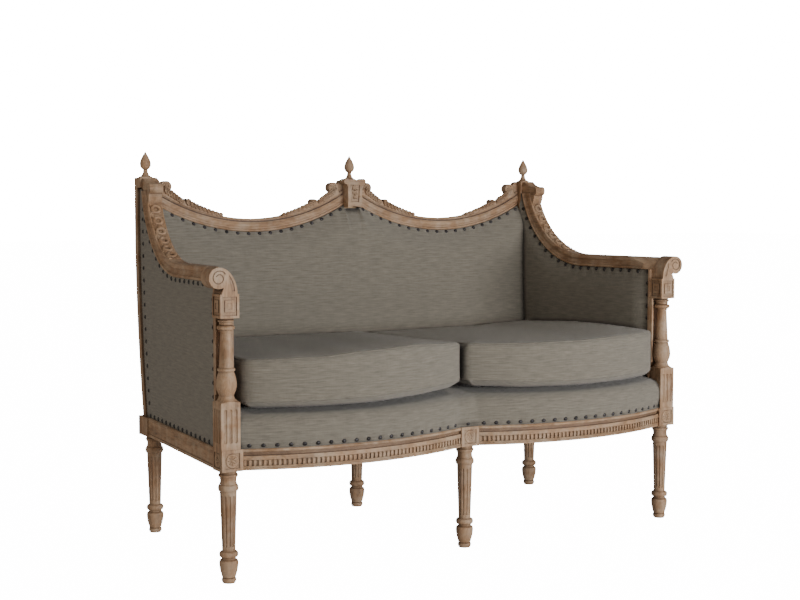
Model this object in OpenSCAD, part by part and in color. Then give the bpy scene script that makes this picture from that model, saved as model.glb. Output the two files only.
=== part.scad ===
// Two-seat settee with a carved and turned wood frame, a double-swag back with three
// finials, six fluted legs, tight upholstery edged with round-headed nails, and two
// loose boxed seat cushions. X runs to the sitter's left, the front faces -Y, Z is up.

/* [Seat frame] */
// Distance between the axes of the two front corner legs
front_leg_spacing = 1260; // [1160:10:1480]
// Distance between the axes of the two back corner legs
back_leg_spacing = 1190; // [1120:10:1400]
// Distance from the front leg axes back to the back leg axes
leg_depth = 542; // [500:2:620]
// Height of the top of the seat frame above the floor
seat_frame_top = 301; // [270:1:330]
// Height of the seat rails and of the square leg blocks
rail_height = 48; // [42:1:56]
// Thickness of the seat rails
rail_thickness = 34; // [28:1:40]
// Width of the square blocks on the front and centre legs
front_block_w = 51; // [46:1:56]
// Width of the square blocks on the back corner legs
back_block_w = 60; // [54:1:64]
// How far each half of the front rail bows forward
front_bow = 62; // [30:2:80]
// How far the rails sit behind the faces of the blocks
rail_setback = 5; // [2:0.5:8]

/* [Legs] */
// Diameter of the foot at the floor
foot_tip_d = 28; // [20:1:30]
// Diameter of the swelling above the foot
foot_bulge_d = 43; // [36:1:46]
// Diameter of the fluted shaft at its foot
shaft_bottom_d = 30; // [28:1:36]
// Diameter of the fluted shaft at its top
shaft_top_d = 38; // [36:1:41]
// Diameter of the ring above the shaft
leg_ring_d = 46; // [44:1:50]
// Number of flutes round a leg
leg_flutes = 12; // [8:1:14]
// Depth of the flutes
flute_depth = 1.8; // [1:0.1:2.5]

/* [Arm posts] */
// Width of the fluted plinth above the front corner block
plinth_w = 46; // [42:1:46]
// Height of the fluted plinth
plinth_h = 103; // [90:1:115]
// Largest diameter of the turned baluster
baluster_d = 46; // [40:1:46]
// Diameter of the column at its foot
column_bottom_d = 32; // [28:1:36]
// Diameter of the column at its top
column_top_d = 24; // [20:1:26]
// Diameter of the ring above the column
capital_ring_d = 40; // [34:1:42]
// Width of the panelled head block
head_w = 45; // [42:1:46]
// Height of the panelled head block
head_h = 53; // [46:1:58]
// Diameter of the scroll at the front of the arm
volute_d = 47; // [44:1:50]
// How far the scroll's centre lies outside the post's axis
volute_reach = 25; // [22:1:28]

/* [Arms] */
// Height of the top of the arm at the front
arm_top = 701; // [670:1:730]
// Height of the arm rail's section
arm_rail_h = 33; // [31:1:38]
// Width of the arm rail
arm_rail_w = 45; // [40:1:50]
// Radius of the lower edge of the arm's upward sweep
arm_sweep_r = 270; // [250:1:300]
// Height at which the arm's lower edge meets the back post
arm_meet_z = 880; // [860:1:885]

/* [Back] */
// Height of the top of the back posts
back_post_top = 910; // [890:1:960]
// Width of the back posts
back_post_w = 46; // [42:1:50]
// Thickness of the back posts from front to back
back_post_t = 40; // [39:1:46]
// Radius of the back posts' gentle bow
back_bow_r = 2850; // [2400:50:4000]
// Height at which the bowed back posts stand upright
back_bow_z = 800; // [760:5:840]
// Lowest point of the crest's lower edge
swag_low = 769; // [750:1:790]
// Radius of the crest's lower edge
swag_r = 560; // [520:5:700]
// Height of the crest rail's section
crest_h = 35; // [30:1:40]
// Thickness of the crest rail
crest_t = 26; // [24:1:30]
// Width of the centre pier at its foot
pier_w = 44; // [38:1:50]
// How far the centre pier stands forward of the crest rail
pier_proud = 28; // [20:1:34]
// Height of a finial above its post
finial_h = 67; // [55:1:80]
// Largest diameter of a finial
finial_d = 28; // [24:1:34]
// Diameter of the scrolls on the crest
crest_scroll_d = 29; // [24:1:34]

/* [Upholstery] */
// Height of the tight seat deck above the seat frame
deck_h = 83; // [70:1:95]
// Height of a cushion's boxing between its seams
boxing_h = 109; // [90:1:115]
// Rise of a cushion's top above its upper seam
cushion_crown = 14; // [8:1:22]
// Depth of a cushion's rounded underside below its lower seam
cushion_belly = 10; // [8:1:18]
// How far the cushion's sides are drawn in between the corners
cushion_draw = 5; // [2:0.5:9]
// Thickness of a cushion's cover and wadding over the foam core
cover_t = 12; // [8:1:20]
// Swell of the inside arm padding
arm_crown = 9; // [4:1:14]
// Swell of the inside back padding
back_crown = 9; // [4:1:14]
// Diameter of a nail head
nail_d = 11; // [8:0.5:12]
// Spacing of the nails
nail_pitch = 31; // [28:1:45]

/* [Fits] */
// Clearance round tenons, dowels and curved butt joints
joint_gap = 0.2; // [0.1:0.05:0.4]
// Clearance round soft parts
cloth_gap = 0.3; // [0.3:0.05:0.6]
// Clearance on each side of a loose cushion
cushion_gap = 1.5; // [0.5:0.25:4]
// Length of the tenons on the seat rails
tenon_l = 16; // [10:1:20]

/* [Hidden] */
$fn = 64;
eps = 0.01;

rail_z0 = seat_frame_top - rail_height;
front_x = front_leg_spacing / 2;
back_x = back_leg_spacing / 2;
front_y = -leg_depth / 2;
back_y = leg_depth / 2;
arm_angle = atan((front_x - back_x) / leg_depth);
half_arm = arm_rail_w / 2;

// Front rail: each half is an arc between the blocks
rail_face_y = front_y - front_block_w / 2 + rail_setback;
bow_half = (front_x - front_block_w) / 2;
bow_x = front_x / 2;
bow_r = (bow_half * bow_half + front_bow * front_bow) / (2 * front_bow);
bow_y = rail_face_y - front_bow + bow_r;
rail_bead = 2.5;

// Back posts: an arc whose centre lies in front of the back
post_seat_setback = 4.5;
bow_drop = back_bow_z - seat_frame_top;
post_top_y = back_y - post_seat_setback + back_bow_r - sqrt(back_bow_r * back_bow_r - bow_drop * bow_drop);
post_arc_y = post_top_y - back_bow_r;
post_inner_x = back_x - back_post_w / 2;
function post_y(z) = post_arc_y + sqrt(back_bow_r * back_bow_r - pow(z - back_bow_z, 2));

// The settee's box is centred on the origin
front_reach = rail_face_y - front_bow - rail_bead;
rear_reach = post_top_y + back_post_t / 2;
shift_y = -(front_reach + rear_reach) / 2;

// Layers of the back, measured from the middle of the back posts
crest_front = -6;
stile_front = -4;
stile_back = 14;
strap_t = 1;
panel_t = 3;

// Arm rail: straight at the front, then an arc up to the back post
arm_bottom = arm_top - arm_rail_h;
arm_z = arm_bottom + arm_sweep_r;
arm_meet_y = post_y(arm_meet_z) - back_post_t / 2;
arm_y = arm_meet_y - sqrt(pow(arm_sweep_r, 2) - pow(arm_z - arm_meet_z, 2));
arm_sweep_end = acos((arm_z - arm_meet_z) / arm_sweep_r);
arm_inner_r = arm_sweep_r - arm_rail_h;
arm_local_y = (arm_y - front_y) / cos(arm_angle);
post_x = front_x + front_block_w / 2 - plinth_w / 2;
head_back_y = front_y + head_w / 2;
stile_half_t = 8;
arm_pad_y0 = front_y + (head_w / 2 + stile_half_t) * cos(arm_angle) + cloth_gap;
stile_w = 42;
arm_panel_x = 16;
function arm_edge_z(y, gap = 0) = y <= arm_y ? arm_bottom - gap : arm_z - sqrt(pow(arm_sweep_r + gap, 2) - pow(y - arm_y, 2));
function arm_x(y) = front_x - (y - front_y) * tan(arm_angle);

// Crest rail: two swags between the posts and the centre pier
swag_x = (post_inner_x + pier_w / 2) / 2;
swag_z = swag_low + swag_r;
crest_top_r = swag_r - crest_h;
scroll_share = 0.887;
scroll_dx = scroll_share * (post_inner_x - pier_w / 2) / 2;
pier_bottom = swag_low + 63;
pier_ear_r = 8;
pier_ear_x = pier_w / 2 + 4;
function swag_edge_z(x) = swag_z - sqrt(pow(swag_r, 2) - pow(abs(x) - swag_x, 2));

// Heights of the upholstery
web_t = 1.5;
hessian_t = 1;
web_top = seat_frame_top + 2 * web_t;
pad_floor = web_top + hessian_t + cloth_gap;
deck_top = seat_frame_top + deck_h;
cushion_z0 = deck_top + cloth_gap;
seam_low = cushion_z0 + cushion_belly;
seam_high = seam_low + boxing_h;
back_pad_proud = 6;
back_pad_lean = 14;
arm_pad_face = 25;
arm_pad_back = 5;
arm_edge_front = 12;
arm_edge_top = 17;
arm_roll_front = 50;
arm_roll_top = 60;

// Room for the flats of a soft form's edge under a curved rail
edge_sag = 0.35;

wood = [0.62, 0.48, 0.36];
wood_hidden = [0.74, 0.62, 0.45];
linen = [0.50, 0.49, 0.45];
jute = [0.60, 0.50, 0.34];
foam = [0.90, 0.86, 0.70];
pewter = [0.16, 0.16, 0.18];
steel = [0.60, 0.60, 0.62];

// Moves a piece from the leg layout into the frame centred on the settee's box
module placed() {
    translate([0, shift_y, 0]) children();
}

// Places a right-hand piece on the chosen side
module on_side(side) {
    mirror([side < 0 ? 1 : 0, 0, 0]) children();
}

// Arm frame: origin on the front leg axis, X outward, Y back along the arm
module on_arm(side) {
    on_side(side) translate([front_x, front_y, 0]) rotate([0, 0, arm_angle]) children();
}

// Extrudes an outline drawn in X and Z from y0 back to y1
module along_y(y0, y1) {
    translate([0, y1, 0]) rotate([90, 0, 0]) linear_extrude(y1 - y0) children();
}

// Extrudes an outline drawn in Y and Z from x0 to x1
module along_x(x0, x1) {
    translate([x0, 0, 0]) rotate([90, 0, 90]) linear_extrude(x1 - x0) children();
}

module box(lo, hi) {
    translate(lo) cube(hi - lo);
}

// Points of a convex turned bead from z0 to z1 that rises by h above radius r
function bead(r, h, z0, z1, n = 8) = [for (i = [0:n]) [r + h * sin(180 * i / n), z0 + (z1 - z0) * (1 - cos(180 * i / n)) / 2]];

// Points of a hollow turned curve from [r0, z0] to [r1, z1]
function cove(r0, z0, r1, z1, n = 6) = [for (i = [0:n]) [r0 + (r1 - r0) * sin(90 * i / n), z0 + (z1 - z0) * (1 - cos(90 * i / n))]];

// Legs

foot_r = foot_tip_d / 2;
bulge_r = foot_bulge_d / 2;
shaft_r0 = shaft_bottom_d / 2;
shaft_r1 = shaft_top_d / 2;
shaft_z0 = 76;
shaft_z1 = rail_z0 - 49;
flute_r = 2.9;
neck_r = shaft_r1 + 0.5;

// Outline of the turned leg below its block
function leg_outline() = concat(
    [[0, 0], [foot_r, 0]],
    bead(foot_r, 2.5, 2, 12, 6),
    [[foot_r + 1.5, 14]],
    [for (i = [0:6]) [foot_r + 2 + (bulge_r - foot_r - 2) * sin(90 * i / 6), 16 + 30 * i / 6]],
    [[bulge_r - 1, 51], [shaft_r0 + 1, 54.5], [shaft_r0 + 1, 57]],
    bead(shaft_r0 + 1.5, bulge_r - shaft_r0 - 1.5, 58, 72, 8),
    [[shaft_r0, 73], [shaft_r0, shaft_z0], [shaft_r1, shaft_z1], [shaft_r1, shaft_z1 + 1]],
    bead(neck_r, leg_ring_d / 2 - neck_r, shaft_z1 + 3, shaft_z1 + 18, 8),
    [[neck_r, shaft_z1 + 19]],
    [for (i = [0:5]) [neck_r - 1.5 * sin(180 * i / 5), shaft_z1 + 20 + 14 * i / 5]],
    bead(neck_r, 2.5, rail_z0 - 14, rail_z0 - 7, 6),
    [[neck_r, rail_z0 - 6], [neck_r + 1, rail_z0], [0, rail_z0]]
);

// One flute with round ends, on the side of the shaft that faces +X
module leg_flute() {
    tilt = atan((shaft_r1 - shaft_r0) / (shaft_z1 - shaft_z0));
    length = (shaft_z1 - shaft_z0) / cos(tilt) - 18;
    translate([shaft_r0 + flute_r - flute_depth, 0, shaft_z0]) rotate([0, tilt, 0]) translate([0, 0, 9]) {
        cylinder(r = flute_r, h = length);
        sphere(r = flute_r);
        translate([0, 0, length]) sphere(r = flute_r);
    }
}

module turned_leg() {
    difference() {
        rotate_extrude() polygon(leg_outline());
        for (i = [0:leg_flutes - 1]) rotate([0, 0, 360 * (i + 0.5) / leg_flutes]) leg_flute();
    }
}

// Round rosette in a square sinking, cut and left standing on a face at y = 0 that looks to -Y
rosette_sink = 1.6;
module rosette_cut(size) {
    difference() {
        along_y(-eps, rosette_sink) square(size, center = true);
        rotate([-90, 0, 0]) rotate_extrude() polygon([
            [0, 0.2], [size * 0.08, 0.4], [size * 0.12, 1.1], [size * 0.30, 0.9], [size * 0.35, 0.2], [size * 0.43, 0.2],
            [size * 0.48, rosette_sink + eps], [0, rosette_sink + eps]
        ]);
    }
}

// Rail tenon that runs along +X, or its mortise where a gap is given
tenon_t = 12;
tenon_margin = 8;
module tenon(length, gap) {
    mouth = gap > 0 ? 5 : 0;
    box([-mouth, -tenon_t / 2 - gap, rail_z0 + tenon_margin - gap], [length + gap, tenon_t / 2 + gap, seat_frame_top - tenon_margin + gap]);
}

module leg_block(w) {
    box([-w / 2, -w / 2, rail_z0], [w / 2, w / 2, seat_frame_top]);
}

tenon_y_front = front_y - front_block_w / 2 + rail_setback + rail_thickness / 2;

module front_leg_blank(w) {
    turned_leg();
    leg_block(w);
}

module leg_front(side) {
    color(wood) placed() on_side(side) difference() {
        translate([front_x, front_y, 0]) front_leg_blank(front_block_w);
        translate([front_x, front_y - front_block_w / 2, rail_z0 + rail_height / 2]) rosette_cut(rail_height * 0.72);
        translate([front_x + front_block_w / 2, front_y, rail_z0 + rail_height / 2]) rotate([0, 0, 90]) rosette_cut(rail_height * 0.72);
        translate([front_x - front_block_w / 2, tenon_y_front, 0]) tenon(tenon_l, joint_gap);
        on_arm(1) translate([0, front_block_w / 2, 0]) rotate([0, 0, 90]) mirror([1, 0, 0]) tenon(tenon_l, joint_gap);
        translate([post_x, front_y, seat_frame_top]) dowel_hole();
        brace_bolt(front_brace, joint_gap);
    }
}

module leg_front_centre() {
    color(wood) placed() difference() {
        translate([0, front_y, 0]) front_leg_blank(front_block_w);
        translate([0, front_y - front_block_w / 2, rail_z0 + rail_height / 2]) rosette_cut(rail_height * 0.72);
        for (s = [-1, 1]) on_side(s) translate([front_block_w / 2, tenon_y_front, 0]) mirror([1, 0, 0]) tenon(tenon_l, joint_gap);
        translate([0, front_y + front_block_w / 2, 0]) rotate([0, 0, 90]) mirror([1, 0, 0]) tenon(tenon_l, joint_gap);
    }
}

module leg_back_centre() {
    color(wood) placed() difference() {
        translate([0, back_y, 0]) front_leg_blank(front_block_w);
        for (s = [-1, 1]) on_side(s) translate([front_block_w / 2, back_y, 0]) mirror([1, 0, 0]) tenon(tenon_l, joint_gap);
        translate([0, back_y - front_block_w / 2, 0]) rotate([0, 0, 90]) tenon(tenon_l, joint_gap);
    }
}

// Dowel that joins a post or finial to what stands below it
dowel_r = 6;
dowel_l = 24;
module dowel() {
    translate([0, 0, -dowel_l]) cylinder(r = dowel_r, h = dowel_l + 1);
}
module dowel_hole() {
    translate([0, 0, -dowel_l - 1]) cylinder(r = dowel_r + joint_gap, h = dowel_l + 2);
}

// A slab that follows the bow of the back, between two depths and two heights
module curved_slab(front, back, x0, x1, z0, z1) {
    span = 16;
    intersection() {
        translate([x0, post_arc_y, back_bow_z]) rotate([90, 0, 90]) rotate_extrude(start = -span, angle = 2 * span, $fn = 360) translate([back_bow_r + front, 0]) square([back - front, x1 - x0]);
        box([x0 - 1, post_arc_y, z0], [x1 + 1, post_top_y + 200, z1]);
    }
}

// The bowed stile of a back post on the right-hand side
module post_stile() {
    curved_slab(-back_post_t / 2, back_post_t / 2, back_x - back_post_w / 2, back_x + back_post_w / 2, seat_frame_top - eps, back_post_top);
}

module back_post(side) {
    color(wood) placed() on_side(side) difference() {
        union() {
            translate([back_x, back_y, 0]) {
                turned_leg();
                leg_block(back_block_w);
            }
            post_stile();
        }
        translate([back_x - back_block_w / 2, back_y, 0]) tenon(tenon_l, joint_gap);
        on_arm(1) translate([0, leg_depth / cos(arm_angle) - back_block_w / 2, 0]) rotate([0, 0, 90]) tenon(tenon_l, joint_gap);
        translate([back_x, post_top_y, back_post_top]) dowel_hole();
        arm_panel_rebate();
        brace_bolt(back_brace, joint_gap);
    }
}

// The step in the post's outer face that takes the edge of the outside arm's fabric
module arm_panel_rebate() {
    intersection() {
        on_arm(1) box([arm_panel_x - cloth_gap, leg_depth - back_block_w, seat_frame_top], [arm_panel_x + 40, leg_depth + 90, arm_meet_z + 4]);
        curved_slab(-back_post_t / 2 - 1, 0, back_x - 40, back_x + 60, seat_frame_top, arm_meet_z + 4);
    }
}

// Seat rails

// Section of the front rail: x is the distance in front of the rail's face
band_sink = 3;
module front_rail_section() {
    z0 = rail_z0;
    z1 = seat_frame_top;
    difference() {
        union() {
            translate([bow_r - rail_thickness, z0]) square([rail_thickness, z1 - z0]);
            translate([bow_r - 1, z1 - 4]) circle(r = 3.5);
            translate([bow_r - 1, z0]) square([2.2, 5]);
            translate([bow_r - 2, z0 + 6.5]) circle(r = 3);
            translate([bow_r - 1, z1 - 25]) square([2, 9]);
        }
        translate([bow_r - 4.5, z1 - 15.5]) square([10, 7.5]);
        translate([bow_r - band_sink, z0 + 9.5]) square([10, z1 - z0 - 35]);
    }
}

// The bowed rail between the centre block and the right-hand corner block
module front_rail(side) {
    reach = asin(bow_half / bow_r) + 1;
    color(wood) placed() on_side(side) {
        intersection() {
            translate([bow_x, bow_y, 0]) rotate_extrude(start = -90 - reach, angle = 2 * reach, $fn = 240) front_rail_section();
            box([front_block_w / 2, -leg_depth, 0], [front_x - front_block_w / 2, 0, seat_frame_top + 10]);
        }
        translate([front_x - front_block_w / 2 - 4, tenon_y_front, 0]) tenon(tenon_l + 4, 0);
        translate([front_block_w / 2 + 4, tenon_y_front, 0]) mirror([1, 0, 0]) tenon(tenon_l + 4, 0);
    }
}

// The straight side rail, cut square to the blocks at both ends
side_rail_x = front_block_w / 2 - 2;
module side_rail(side) {
    run = leg_depth / cos(arm_angle);
    color(wood) placed() on_side(side) {
        difference() {
            on_arm(1) along_y(0, run) {
                translate([side_rail_x - rail_thickness, rail_z0]) square([rail_thickness, rail_height]);
                translate([side_rail_x - 1, rail_z0 + 1]) square([2.5, 7]);
                translate([side_rail_x - 1, seat_frame_top - 4]) circle(r = 2.5);
            }
            translate([front_x, front_y, 0]) grown_block(front_block_w);
            translate([back_x, back_y, 0]) grown_block(back_block_w);
        }
        on_arm(1) translate([0, front_block_w / 2 + 4, 0]) rotate([0, 0, 90]) mirror([1, 0, 0]) tenon(tenon_l + 4, 0);
        on_arm(1) translate([0, run - back_block_w / 2 - 4, 0]) rotate([0, 0, 90]) tenon(tenon_l + 4, 0);
    }
}

// Room taken by a leg block, drawn larger upward and downward for cutting
module grown_block(w) {
    translate([-w / 2, -w / 2, rail_z0 - 5]) cube([w, w, rail_height + 10]);
}

module back_rail(side) {
    x0 = front_block_w / 2;
    x1 = back_x - back_block_w / 2;
    y0 = back_y - rail_thickness / 2;
    color(wood_hidden) placed() on_side(side) {
        box([x0, y0, rail_z0], [x1, y0 + rail_thickness, seat_frame_top]);
        translate([x1 - 4, back_y, 0]) tenon(tenon_l + 4, 0);
        translate([x0 + 4, back_y, 0]) mirror([1, 0, 0]) tenon(tenon_l + 4, 0);
    }
}

module seat_cross_rail() {
    y0 = front_y + front_block_w / 2;
    y1 = back_y - front_block_w / 2;
    color(wood_hidden) placed() {
        box([-rail_thickness / 2, y0, rail_z0 + 4], [rail_thickness / 2, y1, seat_frame_top]);
        translate([0, y0 + 4, 0]) rotate([0, 0, 90]) mirror([1, 0, 0]) tenon(tenon_l + 4, 0);
        translate([0, y1 - 4, 0]) rotate([0, 0, 90]) tenon(tenon_l + 4, 0);
    }
}

// Corner braces: a diagonal block across each inside corner, bolted to the leg block
brace_w = 26;
brace_l = 200;
brace_inset = 62;
brace_z0 = rail_z0 + 8;
brace_z1 = seat_frame_top - 8;
front_brace = [front_x - brace_inset, front_y + brace_inset - 6, -45];
back_brace = [back_x - brace_inset, back_y - brace_inset, 45];
bolt_r = 3;
bolt_l = 78;
bolt_head_r = 6;
bolt_head_h = 4;

// Rails and blocks that trim a brace to the corner
module brace_trim() {
    translate([0, 0, rail_z0 - 5]) linear_extrude(rail_height + 10) difference() {
        translate([-100, -leg_depth]) square([2 * front_x, 2 * leg_depth]);
        intersection() {
            translate([bow_x, bow_y]) circle(r = bow_r - rail_thickness, $fn = 240);
            translate([0, -leg_depth]) square([2 * front_x, leg_depth + back_y - rail_thickness / 2]);
            translate([front_x, front_y]) rotate(arm_angle) translate([-2 * front_x, -leg_depth]) square([2 * front_x + side_rail_x - rail_thickness, 3 * leg_depth]);
        }
    }
    translate([front_x, front_y, 0]) grown_block(front_block_w);
    translate([back_x, back_y, 0]) grown_block(back_block_w);
}

module brace_blank(place) {
    translate([place[0], place[1], brace_z0]) rotate([0, 0, place[2]]) translate([-brace_w / 2, -brace_l / 2, 0]) cube([brace_w, brace_l, brace_z1 - brace_z0]);
}

// Bolt from the brace's inner face into the leg block, drawn larger by a gap for cutting
module brace_bolt(place, gap = 0) {
    translate([place[0], place[1], (brace_z0 + brace_z1) / 2]) rotate([0, 0, place[2]]) translate([-brace_w / 2, 0, 0]) rotate([0, 90, 0]) {
        cylinder(r = bolt_r + gap, h = bolt_l + gap);
        translate([0, 0, -bolt_head_h]) cylinder(r = bolt_head_r, h = bolt_head_h);
    }
}

module corner_braces() {
    color(wood_hidden) placed() for (s = [-1, 1]) on_side(s) difference() {
        union() {
            brace_blank(front_brace);
            brace_blank(back_brace);
        }
        brace_trim();
        brace_bolt(front_brace, joint_gap);
        brace_bolt(back_brace, joint_gap);
    }
}

module brace_bolts() {
    color(steel) placed() for (s = [-1, 1]) on_side(s) {
        brace_bolt(front_brace);
        brace_bolt(back_brace);
    }
}

// Arm posts

plinth_z1 = seat_frame_top + plinth_h;
cap_z1 = plinth_z1 + 16;
baluster_z1 = cap_z1 + 62;
baluster_ring_r = 20;
head_z1 = arm_top - 56;
head_z0 = head_z1 - head_h;
column_z1 = head_z0 - 32;
column_r0 = column_bottom_d / 2;
column_r1 = column_top_d / 2;
baluster_r = baluster_d / 2;

function arm_post_outline() = concat(
    [[0, cap_z1 - 4], [17, cap_z1 - 4], [16.5, cap_z1], [17, cap_z1 + 2]],
    [for (i = [0:8]) [17.5 + (baluster_r - 17.5) * sin(90 * i / 8), cap_z1 + 3 + 20 * i / 8]],
    [for (i = [1:8]) [baluster_r - (baluster_r - column_r0 - 1) * pow(i / 8, 2), cap_z1 + 23 + (baluster_z1 - cap_z1 - 32) * i / 8]],
    bead(column_r0 + 1.5, baluster_ring_r - column_r0 - 1.5, baluster_z1 - 8, baluster_z1 - 1, 6),
    [[column_r0, baluster_z1], [column_r1, column_z1], [column_r1 + 2, column_z1 + 3]],
    bead(column_r1 + 2, capital_ring_d / 2 - column_r1 - 2, column_z1 + 5, column_z1 + 16, 8),
    [[column_r1 + 3, column_z1 + 18], [column_r1 + 3, column_z1 + 21]],
    bead(column_r1 + 3, 3, column_z1 + 23, column_z1 + 29, 6),
    [[column_r1 + 5, head_z0 + 1], [0, head_z0 + 1]]
);

// Square sinking inside a frame, with a raised square in its middle, on a face at y = 0 that looks to -Y
panel_frame = 5.5;
panel_sink = 2;
module panel_cut(w, h) {
    along_y(-eps, panel_sink) difference() {
        square([w - 2 * panel_frame, h - 2 * panel_frame], center = true);
        square([w / 2, h / 2], center = true);
    }
    along_y(-eps, panel_sink / 2) square([w / 4, h / 4], center = true);
}

// Three round-ended flutes on a face at y = 0 that looks to -Y, between two heights
plinth_flute_r = 4.2;
module plinth_flutes(z0, z1) {
    for (i = [-1:1]) translate([i * plinth_w * 0.27, 2.2 - plinth_flute_r, 0]) {
        translate([0, 0, z0 + plinth_flute_r]) cylinder(r = plinth_flute_r, h = z1 - z0 - 2 * plinth_flute_r);
        translate([0, 0, z0 + plinth_flute_r]) sphere(r = plinth_flute_r);
        translate([0, 0, z1 - plinth_flute_r]) sphere(r = plinth_flute_r);
    }
}

// Scroll at the front of the arm, and the neck that sweeps up to its top from the head block
volute_r = volute_d / 2;
volute_z = arm_top + 3 - volute_r;
neck_x = head_w / 2 - 4;
neck_rise = volute_z + volute_r - head_z1;
carving_depth = 1.6;

// Point of the neck's inner edge, drawn in toward the scroll by two insets
function neck_edge(a, in_x, in_z) = [volute_reach - (neck_x + volute_reach - in_x) * cos(a), head_z1 + (neck_rise - in_z) * sin(a)];

module volute_outline() {
    polygon(concat(
        [[-neck_x, head_z1 - 1]],
        [for (i = [0:14]) neck_edge(90 * i / 14, 0, 0)],
        [[volute_reach, volute_z], [volute_reach - volute_r / 2, volute_z - volute_r * 0.84], [neck_x, head_z1 + 3], [neck_x, head_z1 - 1]]
    ));
    translate([volute_reach, volute_z]) circle(r = volute_r);
}

// Tapered groove that follows the neck's inner edge and runs out beside the scroll
module neck_groove() {
    difference() {
        polygon(concat(
            [for (i = [0:10]) neck_edge(7 + 5.5 * i, 5.5, 4)],
            [for (i = [10:-1:0]) neck_edge(8 + 5.5 * i, 13, 11)]
        ));
        translate([volute_reach, volute_z]) circle(r = volute_r + 1.5);
    }
}

// Spiral groove on the scroll's face, from its upper side in to the eye
spiral_turn = 480;
spiral_half_w = 1.3;
function spiral_point(a, side) = let (r = volute_r * (0.74 - 0.46 * a / spiral_turn) + side * spiral_half_w)
    [volute_reach + r * cos(150 - a), volute_z + r * sin(150 - a)];
module spiral_groove() {
    polygon(concat(
        [for (i = [0:32]) spiral_point(spiral_turn * i / 32, 1)],
        [for (i = [32:-1:0]) spiral_point(spiral_turn * i / 32, -1)]
    ));
}

// The cap between the square plinth and the turned baluster
module plinth_cap() {
    rim = plinth_w * 0.7;
    intersection() {
        box([-plinth_w / 2, -plinth_w / 2, plinth_z1 - 1], [plinth_w / 2, plinth_w / 2, cap_z1]);
        rotate_extrude() polygon(concat([[0, plinth_z1 - 1], [rim + 1, plinth_z1 - 1]], cove(rim, plinth_z1 + 2, 17, cap_z1, 8), [[0, cap_z1]]));
    }
}

module arm_post(side) {
    half = plinth_w / 2;
    panel_z = (head_z0 + head_z1) / 2;
    color(wood) placed() on_side(side) translate([post_x, front_y, 0]) difference() {
        union() {
            box([-half, -half, seat_frame_top], [half, half, plinth_z1]);
            plinth_cap();
            rotate_extrude() polygon(arm_post_outline());
            box([-head_w / 2, -head_w / 2, head_z0], [head_w / 2, head_w / 2, head_z1]);
            along_y(-head_w / 2, head_w / 2) volute_outline();
            translate([0, 0, seat_frame_top]) dowel();
        }
        translate([0, -half, 0]) plinth_flutes(seat_frame_top + 14, plinth_z1 - 12);
        translate([half, 0, 0]) rotate([0, 0, 90]) plinth_flutes(seat_frame_top + 14, plinth_z1 - 12);
        for (a = [-90, 0, 90]) rotate([0, 0, a]) translate([0, -head_w / 2, panel_z]) panel_cut(head_w, head_h);
        translate([0, -head_w / 2, 0]) along_y(-eps, carving_depth) neck_groove();
        translate([0, -head_w / 2, 0]) along_y(-eps, carving_depth) spiral_groove();
    }
}

// Flat stile behind the arm post, to which the arm fabrics are nailed
module arm_stile(side) {
    half = plinth_w / 2;
    color(wood) placed() on_side(side) difference() {
        on_arm(1) box([-stile_w / 2, head_w / 2 - stile_half_t, seat_frame_top], [stile_w / 2, head_w / 2 + stile_half_t, arm_bottom]);
        box([post_x - 60, front_y - 60, seat_frame_top - 1], [post_x + 60, front_y + half, cap_z1]);
        box([post_x - 60, front_y - 60, head_z0], [post_x + 60, head_back_y, arm_bottom + 1]);
        translate([post_x, front_y, cap_z1 - 1]) cylinder(r = baluster_r + joint_gap, h = head_z0 - cap_z1 + 2);
    }
}

// Arm rails

// Section of the arm rail: x is the radius from the sweep's centre, y runs across the rail
module arm_rail_section() {
    r0 = arm_inner_r;
    r1 = arm_sweep_r;
    difference() {
        union() {
            translate([r0 + 2.5, -half_arm + 3]) square([arm_rail_h - 4.5, arm_rail_w - 6]);
            translate([r0, -half_arm + 7]) square([6, arm_rail_w - 14]);
            for (s = [-1, 1]) {
                translate([r0 + 3.5, s * (half_arm - 6.5)]) circle(r = 3.5);
                translate([r1 - 4, s * (half_arm - 4)]) circle(r = 4);
            }
            translate([r1 - 8, -half_arm + 4]) square([8, arm_rail_w - 8]);
        }
        for (s = [-1, 1]) translate([(r0 + r1) / 2 + 0.5, s * (half_arm + 3.5)]) circle(r = 9);
    }
}

// Upper end of the arm rail in Y and Z: the mass between the sweep, its scroll and the post
arm_scroll_r = 13.5;
arm_scroll_y = arm_meet_y - 50;
arm_scroll_z = arm_meet_z + 1;
module arm_shoulder() {
    far = arm_meet_y + 30;
    difference() {
        union() {
            polygon([
                [arm_scroll_y - 4, arm_scroll_z - 20], [arm_scroll_y - 2, arm_scroll_z + arm_scroll_r - 1],
                [arm_scroll_y + 14, arm_scroll_z + arm_scroll_r], [arm_scroll_y + 30, back_post_top - 9],
                [arm_scroll_y + 38, back_post_top - 3], [far, back_post_top - 2], [far, arm_meet_z], [arm_scroll_y + 6, arm_scroll_z - 44]
            ]);
            translate([arm_scroll_y, arm_scroll_z]) circle(r = arm_scroll_r);
        }
        difference() {
            translate([arm_y, arm_z]) circle(r = arm_sweep_r + 100, $fn = 240);
            translate([arm_y, arm_z]) circle(r = arm_sweep_r, $fn = 240);
        }
    }
}

// Outline of a carved leaf that follows an arc: lobes rise from radius r toward the centre
function leaf(r, a0, a1, rise0, rise1, lobe, lobes, n = 24) = concat(
    [for (i = [0:n]) let (t = i / n, a = a0 + (a1 - a0) * t, h = rise0 + (rise1 - rise0) * t + lobe * abs(sin(180 * lobes * t))) [(r - h) * sin(a), -(r - h) * cos(a)]],
    [for (i = [0:4]) let (a = a1 + (a0 - a1) * i / 4) [(r + 3) * sin(a), -(r + 3) * cos(a)]]
);

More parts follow.
